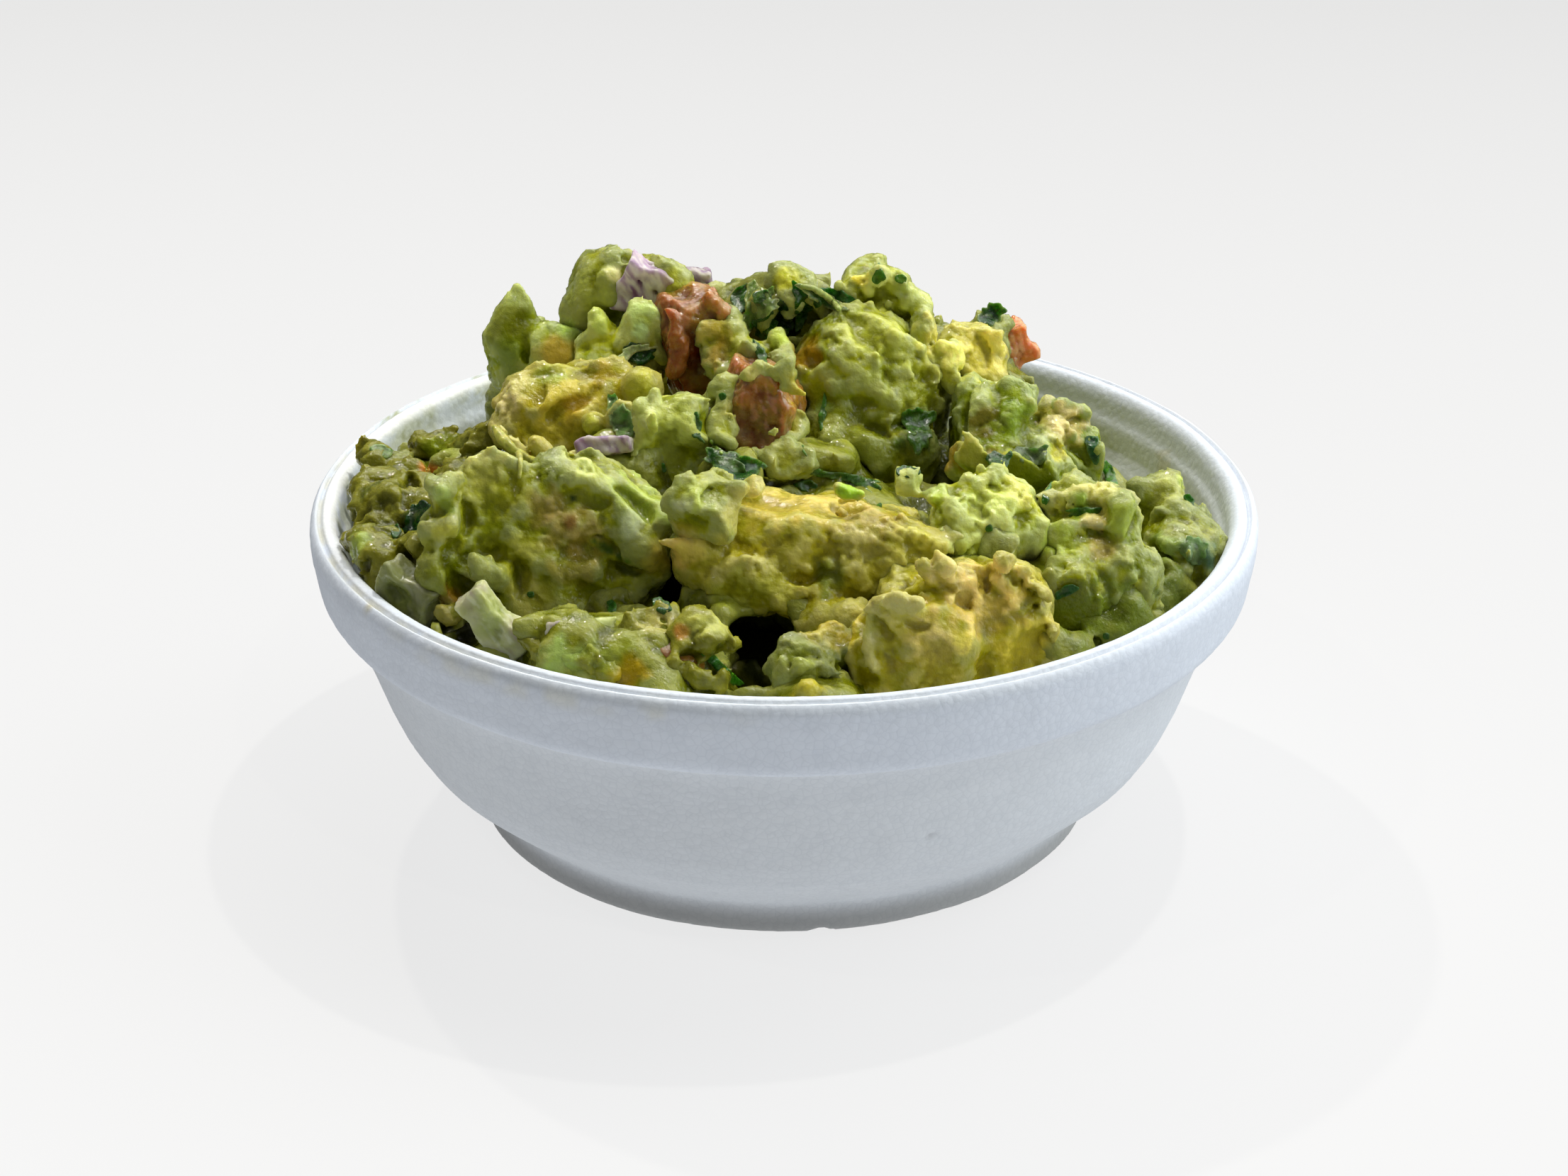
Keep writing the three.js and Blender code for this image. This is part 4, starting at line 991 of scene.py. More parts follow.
for name, F in FIELDS.items():
    if name != "mash":
        dress(name, F)
        if name[0] in "ab":
            w_ = 0.15 if name in ("avocado_12", "bits_lime", "avocado_11") else 0.3
            F.d = (1 - w_) * F.d + w_ * box_blur(F.d, 1)
r = np.random.default_rng(77)
M.wring([(1.1, 9.0), (0.4, 3.8)], 71)
lumpy(M, 0.8, 8.0, 3, "soft", 3.0)
lumpy(M, 0.5, 4.4, 4, "crease", 2.6)
M.curds(420, 0.8, 2.2, r, keep=lambda P: P[:, 2] > 38, out=(-0.5, 0.1), k=0.9)
M.facets(700, r, (0.25, 0.6), (2.2, 4.0))
lumpy(M, 0.2, 2.4, 5, "ridge")
lumpy(M, 0.14, 1.5, 6, "soft")
M.d = 0.6 * M.d + 0.4 * box_blur(M.d, 1)
for name, F in FIELDS.items():
    trim_to_wall(F)
stamp_time("texture")


# ---------------------------------------------------------------- cilantro
def depths(UV, only=None):
    """Distance along each line of sight to the food."""
    UV = np.asarray(UV, float)
    D = np.array([ray(u, v) for u, v in UV])
    best = np.full(len(UV), np.inf)
    for name, F in FIELDS.items():
        if only and name not in only:
            continue
        with np.errstate(divide="ignore", invalid="ignore"):
            t1, t2 = (F.lo - CAM) / D, (F.hi - CAM) / D
        a, b = np.minimum(t1, t2).max(1), np.maximum(t1, t2).min(1)
        k = np.flatnonzero(b > a)
        if not len(k):
            continue
        T = a[k, None] + 0.45 * np.arange(int((b - a)[k].max() / 0.45) + 2)[None, :]
        f = F.at((CAM + T[..., None] * D[k, None, :]).reshape(-1, 3)).reshape(T.shape)
        neg = f < 0
        has = neg.any(1)
        i = neg.argmax(1)
        r = np.arange(len(k))
        f1, f0 = f[r, i], f[r, np.maximum(i - 1, 0)]
        t = np.where(i > 0, T[r, np.maximum(i - 1, 0)] + 0.45 * f0 / np.maximum(f0 - f1, 1e-4), T[r, i])
        q = k[has]
        best[q] = np.minimum(best[q], t[has])
    return best, D


def curve(pts, step, closed):
    """Catmull-Rom curve through pts, resampled evenly."""
    P = np.asarray(pts, float)
    n = len(P)
    out = []
    for i in range(n if closed else n - 1):
        if closed:
            a, b, c, d = (P[(i + j) % n] for j in (-1, 0, 1, 2))
        else:
            a, b, c, d = P[max(i - 1, 0)], P[i], P[i + 1], P[min(i + 2, n - 1)]
        t = np.linspace(0, 1, 12, endpoint=False)[:, None]
        out.append(0.5 * (2 * b + (c - a) * t + (2 * a - 5 * b + 4 * c - d) * t ** 2 + (3 * b - a - 3 * c + d) * t ** 3))
    out = np.concatenate(out + ([out[0][:1]] if closed else [P[-1:]]))
    L = np.concatenate([[0], np.cumsum(np.linalg.norm(np.diff(out[:, :2], axis=0), axis=1))])
    m = max(3, int(round(L[-1] / step)))
    s_ = np.linspace(0, L[-1], m + 1)
    R = np.stack([np.interp(s_, L, out[:, i]) for i in range(out.shape[1])], 1)
    return R[:-1] if closed else R


HERBS = []   # vertices, faces, colours


def leaf(px, lift=0.3, thick=0.22, ruffle=0.3, lam=2.6, curl=0.5, mid=(30, 66, 22), pale=(96, 128, 74), rim=0.25, relax=14, seed=1, reach=4.0, step=3.0):
    """A leaf with the given outline, laid over the food under it."""
    O = curve(px, step, True)
    n = len(O)
    mid_ = O.mean(0)
    rag_ = 0.16 * noise(np.c_[O * 0.115, np.full(n, seed * 7.7)], 1.3, 600) + 0.12 * noise(np.c_[O * 0.115, np.full(n, seed * 3.1)], 3.0, 601)
    O = mid_ + (O - mid_) * (1 + rag_)[:, None]
    lo, hi = O.min(0), O.max(0)
    gx, gy = np.meshgrid(np.arange(lo[0], hi[0], step), np.arange(lo[1], hi[1], step * 0.87))
    gx[1::2] += step / 2
    G_ = np.stack([gx.ravel(), gy.ravel()], 1)
    j = np.roll(np.arange(n), -1)
    cross = ((O[None, :, 1] > G_[:, None, 1]) != (O[None, j, 1] > G_[:, None, 1]))
    xs = O[None, :, 0] + (G_[:, None, 1] - O[None, :, 1]) * (O[j, 0] - O[:, 0])[None, :] / np.where(np.abs(O[j, 1] - O[:, 1]) < 1e-9, 1e-9, O[j, 1] - O[:, 1])[None, :]
    inside = (cross & (G_[:, None, 0] < xs)).sum(1) % 2 == 1
    G_ = G_[inside]
    if len(G_):
        G_ = G_[np.linalg.norm(G_[:, None] - O[None], axis=2).min(1) > step * 0.6]
    V2 = np.concatenate([O, G_]) if len(G_) else O
    res = delaunay_2d_cdt([Vector(p) for p in V2], [(i, (i + 1) % n) for i in range(n)], [], 1, 1e-6)
    V2 = np.array([v[:] for v in res[0]])
    T = np.array([f for f in res[2] if len(f) == 3])
    t, D = depths(V2)
    ok = np.isfinite(t)
    if not ok.any():
        return
    m = np.median(t[ok])
    t = np.clip(np.where(ok, t, m), m - reach, m + reach)
    E = np.unique(np.sort(np.concatenate([T[:, [0, 1]], T[:, [1, 2]], T[:, [2, 0]]]), axis=1), axis=0)
    for _ in range(relax):
        acc, cnt = np.zeros(len(t)), np.zeros(len(t))
        for a, b in ((0, 1), (1, 0)):
            np.add.at(acc, E[:, a], t[E[:, b]])
            np.add.at(cnt, E[:, a], 1)
        t = 0.5 * t + 0.5 * acc / np.maximum(cnt, 1)
    edge = np.linalg.norm(V2[:, None] - O[None], axis=2).min(1) * 0.115
    P0 = CAM + D * t[:, None]
    nn = noise(P0, lam, 700 + seed)
    t = t - 0.55 * lift - ruffle * (nn + 0.3) - 0.6 * curl * smooth(1.3, 0.0, edge) * (0.4 + noise(P0, 4.0, 800 + seed))
    A_ = CAM + D * t[:, None]
    B_ = CAM + D * (t + thick)[:, None]
    nv = len(V2)
    e1 = np.sort(np.concatenate([T[:, [0, 1]], T[:, [1, 2]], T[:, [2, 0]]]), axis=1)
    u, c = np.unique(e1, axis=0, return_counts=True)
    border = {tuple(x) for x in u[c == 1]}
    w = []
    for a, b in np.concatenate([T[:, [0, 1]], T[:, [1, 2]], T[:, [2, 0]]]):
        if (min(a, b), max(a, b)) in border:
            w.append((b, a, a + nv))
            w.append((b, a + nv, b + nv))
    F_ = np.concatenate([T, T[:, ::-1] + nv, np.array(w)])
    nrm = np.cross(A_[T[:, 1]] - A_[T[:, 0]], A_[T[:, 2]] - A_[T[:, 0]]).sum(0)
    if nrm @ D.mean(0) > 0:
        F_ = F_[:, ::-1]
    V = np.concatenate([A_, B_])
    edge = np.concatenate([edge, edge])
    c = mix(lin(mid) * 0.62, lin(mid) * 1.3, smooth(-0.5, 0.6, noise(V, 1.6, 900 + seed))[:, None])
    c = mix(c, lin(pale), (rim * smooth(0.5, 0.0, edge) + 0.25 * smooth(0.3, 0.7, noise(V, 2.4, 950 + seed)))[:, None])
    HERBS.append((V, F_, c))


def stem(px, r, mid=(96, 132, 60), lift=0.3, seed=1, relax=6, sides=8, reach=4.0):
    """A stem or strand laid over the food along a line; r in mm at each point."""
    Q = curve(np.concatenate([np.asarray(px, float), np.asarray(np.broadcast_to(r, len(px)), float)[:, None]], 1), 4.0, False)
    t, D = depths(Q[:, :2])
    ok = np.isfinite(t)
    if not ok.any():
        return
    m = np.median(t[ok])
    t = np.clip(np.where(ok, t, m), m - reach, m + reach)
    for _ in range(relax):
        t[1:-1] = 0.25 * t[:-2] + 0.5 * t[1:-1] + 0.25 * t[2:]
    P = CAM + D * (t - lift)[:, None]
    tube(P, Q[:, 2], mid, seed, sides)


def tube(P, R, mid, seed=1, sides=8):
    P = np.asarray(P, float)
    d = np.gradient(P, axis=0)
    d /= np.maximum(np.linalg.norm(d, axis=1, keepdims=True), 1e-9)
    a = np.cross(d, (0.3, 0.2, 0.93))
    a /= np.maximum(np.linalg.norm(a, axis=1, keepdims=True), 1e-9)
    b = np.cross(d, a)
    ph = np.arange(sides) * 2 * math.pi / sides
    R = np.broadcast_to(np.asarray(R, float), (len(P),))
    V = (P[:, None] + R[:, None, None] * (np.cos(ph)[None, :, None] * a[:, None] + np.sin(ph)[None, :, None] * b[:, None])).reshape(-1, 3)
    V = V + 0.12 * R.mean() * noise(V, 1.5, 400 + seed)[:, None]
    k = len(P)
    idx = np.arange(k * sides).reshape(k, sides)
    q, w = idx[:-1], idx[1:]
    T = []
    for i in range(sides):
        j = (i + 1) % sides
        T += [np.stack([q[:, i], q[:, j], w[:, j]], 1), np.stack([q[:, i], w[:, j], w[:, i]], 1)]
    c0, c1 = len(V), len(V) + 1
    V = np.concatenate([V, [P[0] - d[0] * R[0] * 0.6, P[-1] + d[-1] * R[-1] * 0.6]])
    r_ = np.arange(sides)
    T += [np.stack([np.full(sides, c0), (r_ + 1) % sides, r_], 1), np.stack([np.full(sides, c1), idx[-1][r_], idx[-1][(r_ + 1) % sides]], 1)]
    T = np.concatenate(T)
    vol = np.einsum("ij,ij->i", V[T[:, 0]], np.cross(V[T[:, 1]], V[T[:, 2]])).sum()
    if vol < 0:
        T = T[:, ::-1]
    c = mix(lin(mid) * 0.7, lin(mid) * 1.2, smooth(-0.5, 0.6, noise(V, 1.4, 300 + seed))[:, None])
    HERBS.append((V, T, c))


G1, G2, G3 = (34, 76, 4), (52, 104, 8), (70, 122, 14)
BLUE = (74, 104, 92)
# the cluster on top
leaf([(1034, 412), (1046, 404), (1060, 402), (1058, 418), (1050, 436), (1036, 440), (1031, 426)], mid=G1, seed=1, curl=0.9)
leaf([(1054, 410), (1066, 400), (1084, 402), (1098, 416), (1096, 432), (1084, 446), (1070, 452), (1060, 470), (1050, 474), (1046, 456), (1052, 436), (1050, 420)],
     mid=(108, 132, 76), pale=(178, 190, 140), rim=0.7, seed=2, curl=1.1, lift=0.6)
leaf([(1064, 412), (1078, 408), (1088, 416), (1086, 428), (1074, 432), (1064, 424)], mid=(52, 84, 26), seed=3, lift=1.2, curl=-0.6)
leaf([(1062, 452), (1078, 446), (1090, 440), (1096, 456), (1084, 474), (1068, 476)], mid=G1, seed=4, lift=0.3)
leaf([(1094, 428), (1108, 424), (1118, 440), (1120, 462), (1108, 476), (1096, 462)], mid=(16, 50, 12), seed=5, lift=0.2)
leaf([(1118, 400), (1134, 402), (1150, 414), (1162, 428), (1156, 434), (1142, 438), (1134, 456), (1126, 464), (1120, 446), (1122, 424)], mid=G1, seed=6, lift=0.7, curl=0.9)
leaf([(1124, 402), (1140, 402), (1162, 412), (1182, 424), (1192, 434), (1180, 438), (1160, 430), (1138, 416)], mid=(64, 104, 56), pale=(190, 202, 160), rim=0.8, seed=7, lift=1.3, curl=1.0)
leaf([(1158, 408), (1176, 406), (1194, 412), (1204, 422), (1196, 430), (1176, 424), (1162, 416)], mid=(36, 84, 36), seed=8, lift=0.8, curl=0.8)
stem([(1130, 404), (1150, 408), (1172, 424), (1184, 436)], [0.35, 0.5, 0.55, 0.4], (176, 190, 130), lift=1.8)
leaf([(1230, 392), (1236, 378), (1240, 369), (1244, 380), (1250, 392), (1242, 398), (1234, 398)], mid=(66, 110, 22), seed=9, lift=0.5)
leaf([(1262, 390), (1272, 386), (1280, 392), (1274, 400), (1264, 398)], mid=(84, 124, 20), seed=10, lift=0.5)
leaf([(878, 494), (890, 484), (908, 488), (926, 492), (922, 504), (906, 514), (890, 510), (880, 504)], mid=(24, 70, 18), seed=11, lift=0.4)
leaf([(872, 502), (882, 490), (896, 486), (912, 486), (928, 490), (914, 494), (896, 498), (884, 510), (876, 512)], mid=(150, 168, 140), pale=(206, 212, 180), rim=0.5, seed=12, lift=0.9, curl=1.0)
leaf([(996, 640), (1010, 632), (1030, 636), (1050, 640), (1072, 652), (1074, 668), (1060, 680), (1040, 682), (1020, 674), (1004, 660)],
     mid=(30, 70, 20), pale=(120, 148, 80), rim=0.6, seed=13, lift=0.8, curl=1.6)
leaf([(1010, 646), (1026, 644), (1044, 652), (1050, 664), (1036, 670), (1020, 662)], mid=(66, 96, 50), pale=(120, 146, 96), seed=14, lift=1.4, curl=0.6)
leaf([(972, 598), (982, 586), (990, 596), (988, 612), (994, 624), (984, 622), (976, 612)], mid=(50, 88, 40), seed=15, lift=0.3)
# by the tall chunk
leaf([(1272, 592), (1284, 578), (1300, 576), (1318, 582), (1322, 592), (1310, 600), (1312, 616), (1302, 632), (1288, 634), (1280, 620), (1276, 606)],
     mid=(46, 86, 12), pale=(120, 150, 90), rim=0.4, seed=16, lift=1.0, curl=0.6)
leaf([(1120, 684), (1134, 678), (1150, 680), (1156, 688), (1144, 694), (1128, 692)], mid=G1, seed=17)
leaf([(1134, 628), (1140, 640), (1148, 656), (1160, 664), (1182, 666), (1208, 670), (1232, 678), (1244, 688), (1232, 694), (1214, 690), (1192, 678), (1166, 674), (1146, 668), (1138, 652)],
     mid=(48, 88, 34), pale=(120, 150, 90), rim=0.5, seed=18, lift=0.6, curl=0.5)
leaf([(1154, 588), (1160, 566), (1163, 556), (1166, 572), (1164, 596), (1158, 608)], mid=(70, 124, 40), seed=19, lift=0.3, curl=0.2)
leaf([(1060, 476), (1066, 500), (1076, 520), (1082, 504), (1074, 486)], mid=(52, 90, 24), seed=20, lift=0.3, curl=0.3)
leaf([(1265, 660), (1280, 656), (1296, 662), (1298, 670), (1282, 674), (1268, 672)], mid=(28, 76, 20), seed=21)
# right
leaf([(1391, 648), (1402, 636), (1414, 644), (1426, 636), (1424, 656), (1416, 672), (1402, 674), (1398, 660)], mid=(32, 74, 14), pale=(90, 120, 80), seed=22, lift=1.4)
leaf([(1430, 634), (1446, 630), (1462, 632), (1477, 628), (1474, 644), (1464, 656), (1446, 654), (1434, 648)], mid=(84, 104, 84), pale=(150, 166, 140), rim=0.4, seed=23, lift=0.5, curl=0.8)
leaf([(1473, 712), (1471, 700), (1476, 688), (1484, 677), (1482, 692), (1479, 706), (1476, 714)], mid=(40, 104, 20), seed=24, lift=0.8, curl=0.1, ruffle=0.1)
leaf([(1489, 838), (1498, 828), (1514, 824), (1520, 830), (1508, 840), (1494, 845)], mid=(22, 80, 26), seed=25, lift=0.3)
leaf([(1500, 722), (1524, 716), (1552, 717), (1550, 724), (1528, 727), (1504, 731)], mid=(58, 102, 12), seed=26, lift=0.25, curl=0.2)
leaf([(1668, 700), (1676, 696), (1684, 704), (1684, 714), (1676, 712)], mid=(34, 84, 16), seed=27, lift=0.6, curl=0.9)
leaf([(1664, 768), (1676, 758), (1692, 760), (1704, 772), (1700, 788), (1688, 796), (1674, 792), (1666, 782)], mid=(104, 132, 100), pale=(140, 166, 140), rim=0.4, seed=28, lift=0.3, curl=0.4)
leaf([(1530, 622), (1544, 616), (1552, 632), (1548, 652), (1538, 646)], mid=(36, 84, 50), pale=(150, 180, 140), seed=29, lift=0.5)
leaf([(1556, 650), (1570, 662), (1576, 682), (1566, 690), (1558, 674)], mid=(74, 122, 26), seed=30, lift=0.5)
leaf([(1380, 436), (1392, 430), (1404, 428), (1420, 436), (1410, 450), (1396, 460), (1384, 456)], mid=(28, 62, 28), pale=(150, 178, 110), rim=0.5, seed=31, lift=0.4)
# left
leaf([(568, 752), (574, 730), (586, 712), (600, 706), (610, 714), (608, 734), (604, 750), (592, 760), (578, 760)], mid=(12, 44, 10), pale=(40, 70, 30), seed=32, lift=1.2)
leaf([(552, 748), (560, 738), (566, 748), (562, 758), (554, 758)], mid=(40, 84, 30), seed=33)
leaf([(524, 632), (536, 626), (550, 632), (552, 642), (538, 646), (526, 642)], mid=(120, 146, 110), pale=(160, 180, 140), seed=34, lift=0.3)
leaf([(856, 848), (862, 844), (869, 856), (866, 874), (858, 870)], mid=(30, 78, 26), seed=35, lift=0.4)
leaf([(920, 848), (932, 842), (942, 850), (948, 862), (936, 866), (924, 860)], mid=(30, 76, 22), seed=36, lift=0.4, curl=0.8)
leaf([(984, 910), (996, 914), (1010, 926), (1026, 942), (1042, 956), (1050, 968), (1036, 968), (1020, 954), (1004, 938), (990, 924)], mid=(56, 128, 34), pale=(110, 170, 70), seed=37, lift=0.5, curl=0.4)
leaf([(854, 566), (866, 560), (880, 570), (892, 586), (896, 604), (886, 622), (872, 618), (862, 600)], mid=(104, 136, 96), pale=(186, 204, 160), rim=0.5, seed=38, lift=0.3, curl=0.4, ruffle=0.5)
for q in (((1306, 584), (1314, 582), (1316, 590), (1308, 592)), ((1290, 606), (1298, 604), (1299, 613), (1292, 614)), ((1556, 894), (1564, 893), (1565, 901), (1558, 902)),
          ((584, 730), (594, 728), (594, 738), (586, 739)), ((744, 836), (752, 834), (753, 842), (746, 843)), ((1014, 556), (1022, 554), (1024, 562), (1016, 564)),
          ((1390, 742), (1398, 740), (1400, 748), (1392, 750)), ((1236, 712), (1243, 710), (1244, 718), (1238, 719)), ((930, 656), (938, 654), (940, 664), (932, 665))):
    leaf(q, mid=G2, seed=int(q[0][0]), lift=0.25, curl=0.2, ruffle=0.1, step=2.4)
# far side
CAM, SIDE = FAR_CAM, np.array((-1.0, -1.0, 1.0))
rl = np.random.default_rng(61)
for i, (u, v) in enumerate(((690, 690), (850, 800), (1000, 650), (1150, 740), (1310, 860), (1410, 640), (900, 560), (1260, 570), (1500, 760), (620, 620),
                            (1080, 840), (780, 600), (1350, 740), (960, 730), (1210, 650), (1560, 690), (740, 850))):
    a, b, th = rl.uniform(15, 34), rl.uniform(8, 17), rl.uniform(0, math.pi)
    px = []
    for k in range(9):
        q, f = rl.uniform(0.75, 1.2), 2 * math.pi * k / 9
        x, y = a * q * math.cos(f), b * q * math.sin(f)
        px.append((u + x * math.cos(th) - y * math.sin(th), v + x * math.sin(th) + y * math.cos(th)))
    p, n, _ = hit(u, v)
    if p is None or not all(hidden(p + q) for q in ((0, 0, 3), (-4, 0, 1.5), (4, 0, 1.5))):
        continue
    leaf(px, mid=(G1, G2, G3, (24, 60, 14))[i % 4], pale=(100, 130, 76), rim=0.3, seed=100 + i, lift=0.5, curl=0.6)
CAM, SIDE = NEAR_CAM, np.ones(3)
# thin strands of mash and stalk
stem([(697, 602), (706, 616), (722, 632), (744, 646), (768, 654), (800, 654)], [0.5, 0.9, 0.8, 0.6, 0.6, 0.4], (196, 196, 110), lift=0.5, seed=3)
stem([(732, 640), (734, 656), (733, 674)], [0.6, 0.4, 0.25], (190, 190, 120), lift=0.6, seed=4)
stem([(1004, 622), (1010, 632), (1018, 640)], [0.3, 0.4, 0.3], (140, 170, 90), lift=0.5, seed=6)
stamp_time("leaves")

# ---------------------------------------------------------------- how enclosed each place is
G = 1.0
G_LO = np.array([-78.0, -78.0, 30.0])
G_N = (157, 157, 62)
occ = np.zeros(G_N, np.float32)
for name, F in FIELDS.items():
    a = np.maximum(np.ceil((F.lo - G_LO) / G).astype(int), 0)
    b = np.minimum(np.floor((F.hi - G_LO) / G).astype(int), np.array(G_N) - 1)
    g = [np.clip(np.round((G_LO[i] + G * np.arange(a[i], b[i] + 1) - F.lo[i]) / F.h).astype(int), 0, F.n[i] - 1) for i in range(3)]
    o = np.clip(0.5 - F.d[np.ix_(*g)] / G, 0, 1)
    w = tuple(slice(i, j + 1) for i, j in zip(a, b))
    occ[w] = np.maximum(occ[w], o)
gx = G_LO[0] + G * np.arange(G_N[0])
gz = G_LO[2] + G * np.arange(G_N[2])
RR = np.sqrt(gx[:, None, None] ** 2 + gx[None, :, None] ** 2)
wall = (RR > wall_in(gz)[None, None, :]) & (RR < 75.2) & (gz[None, None, :] < 51.7)
occ = np.maximum(occ, wall.astype(np.float32))
OCC2 = box_blur(box_blur(occ, 1), 1)
OCC6 = box_blur(box_blur(occ, 3), 3)


def tri(grid, P):
    Q = np.clip((P - G_LO) / G, 0, np.array(G_N) - 1.001)
    i = np.floor(Q).astype(int)
    f = Q - i
    x, y, z = i.T
    fx, fy, fz = f.T
    out = 0
    for dx in (0, 1):
        for dy in (0, 1):
            for dz in (0, 1):
                w = (fx if dx else 1 - fx) * (fy if dy else 1 - fy) * (fz if dz else 1 - fz)
                out = out + w * grid[x + dx, y + dy, z + dz]
    return out


# ---------------------------------------------------------------- colours
STYLE = {  # middle, second middle, pale, dark
    "green": ((124, 134, 0), (154, 158, 20), (166, 174, 134), (80, 84, 0)),
    "lime": ((124, 140, 0), (152, 162, 24), (162, 172, 136), (78, 88, 0)),
    "yellow": ((176, 164, 14), (160, 156, 24), (196, 190, 128), (112, 100, 0)),
    "mash": ((104, 112, 0), (138, 142, 18), (172, 176, 104), (60, 62, 0)),
    "olive": ((98, 100, 0), (128, 126, 0), (160, 160, 62), (46, 46, 0)),
    "tomato": ((150, 70, 6), (164, 104, 20), (196, 130, 60), (92, 24, 0)),
    "onion_red": ((128, 96, 132), (150, 122, 150), (206, 200, 204), (84, 44, 70)),
    "onion_pale": ((170, 176, 104), (186, 188, 140), (214, 216, 186), (110, 120, 40)),
}
KIND = {n: "yellow" for n in ("avocado_2", "avocado_3", "avocado_9", "avocado_16", "avocado_19")}
KIND.update({n: "lime" for n in ("avocado_6", "avocado_10", "avocado_12", "avocado_8", "avocado_17", "bits_lime")})
KIND.update({n: "tomato" for n in BLOCKS if n.startswith("tomato")})
KIND.update({"onion_1": "onion_red", "onion_4": "onion_red", "onion_6": "onion_red", "onion_2": "onion_pale",
             "onion_3": "onion_pale", "onion_5": "onion_pale"})
KIND.update({"avocado_17": "green", "bits_far": "mash", "chips_onion": "onion_pale", "chips_tomato": "tomato"})
KIND.update({"bits_lime": "green", "avocado_10": "green", "avocado_8": "green", "bits_back": "green", "mash": "mash", "bits_front": "olive", "bits_left": "olive", "bits_top": "green"})


def dab(u, v, r, c, s, only=None):
    # large dark dabs, mostly painted shadow in the hollows, go on the mash only
    if sum(c) < 140 and r > 2 and only is None:
        only = ("mash", "bits_front", "bits_left")
    p, n, _ = hit(u, v, only)
    if p is not None:
        ZONES.append((p, r, c, s))


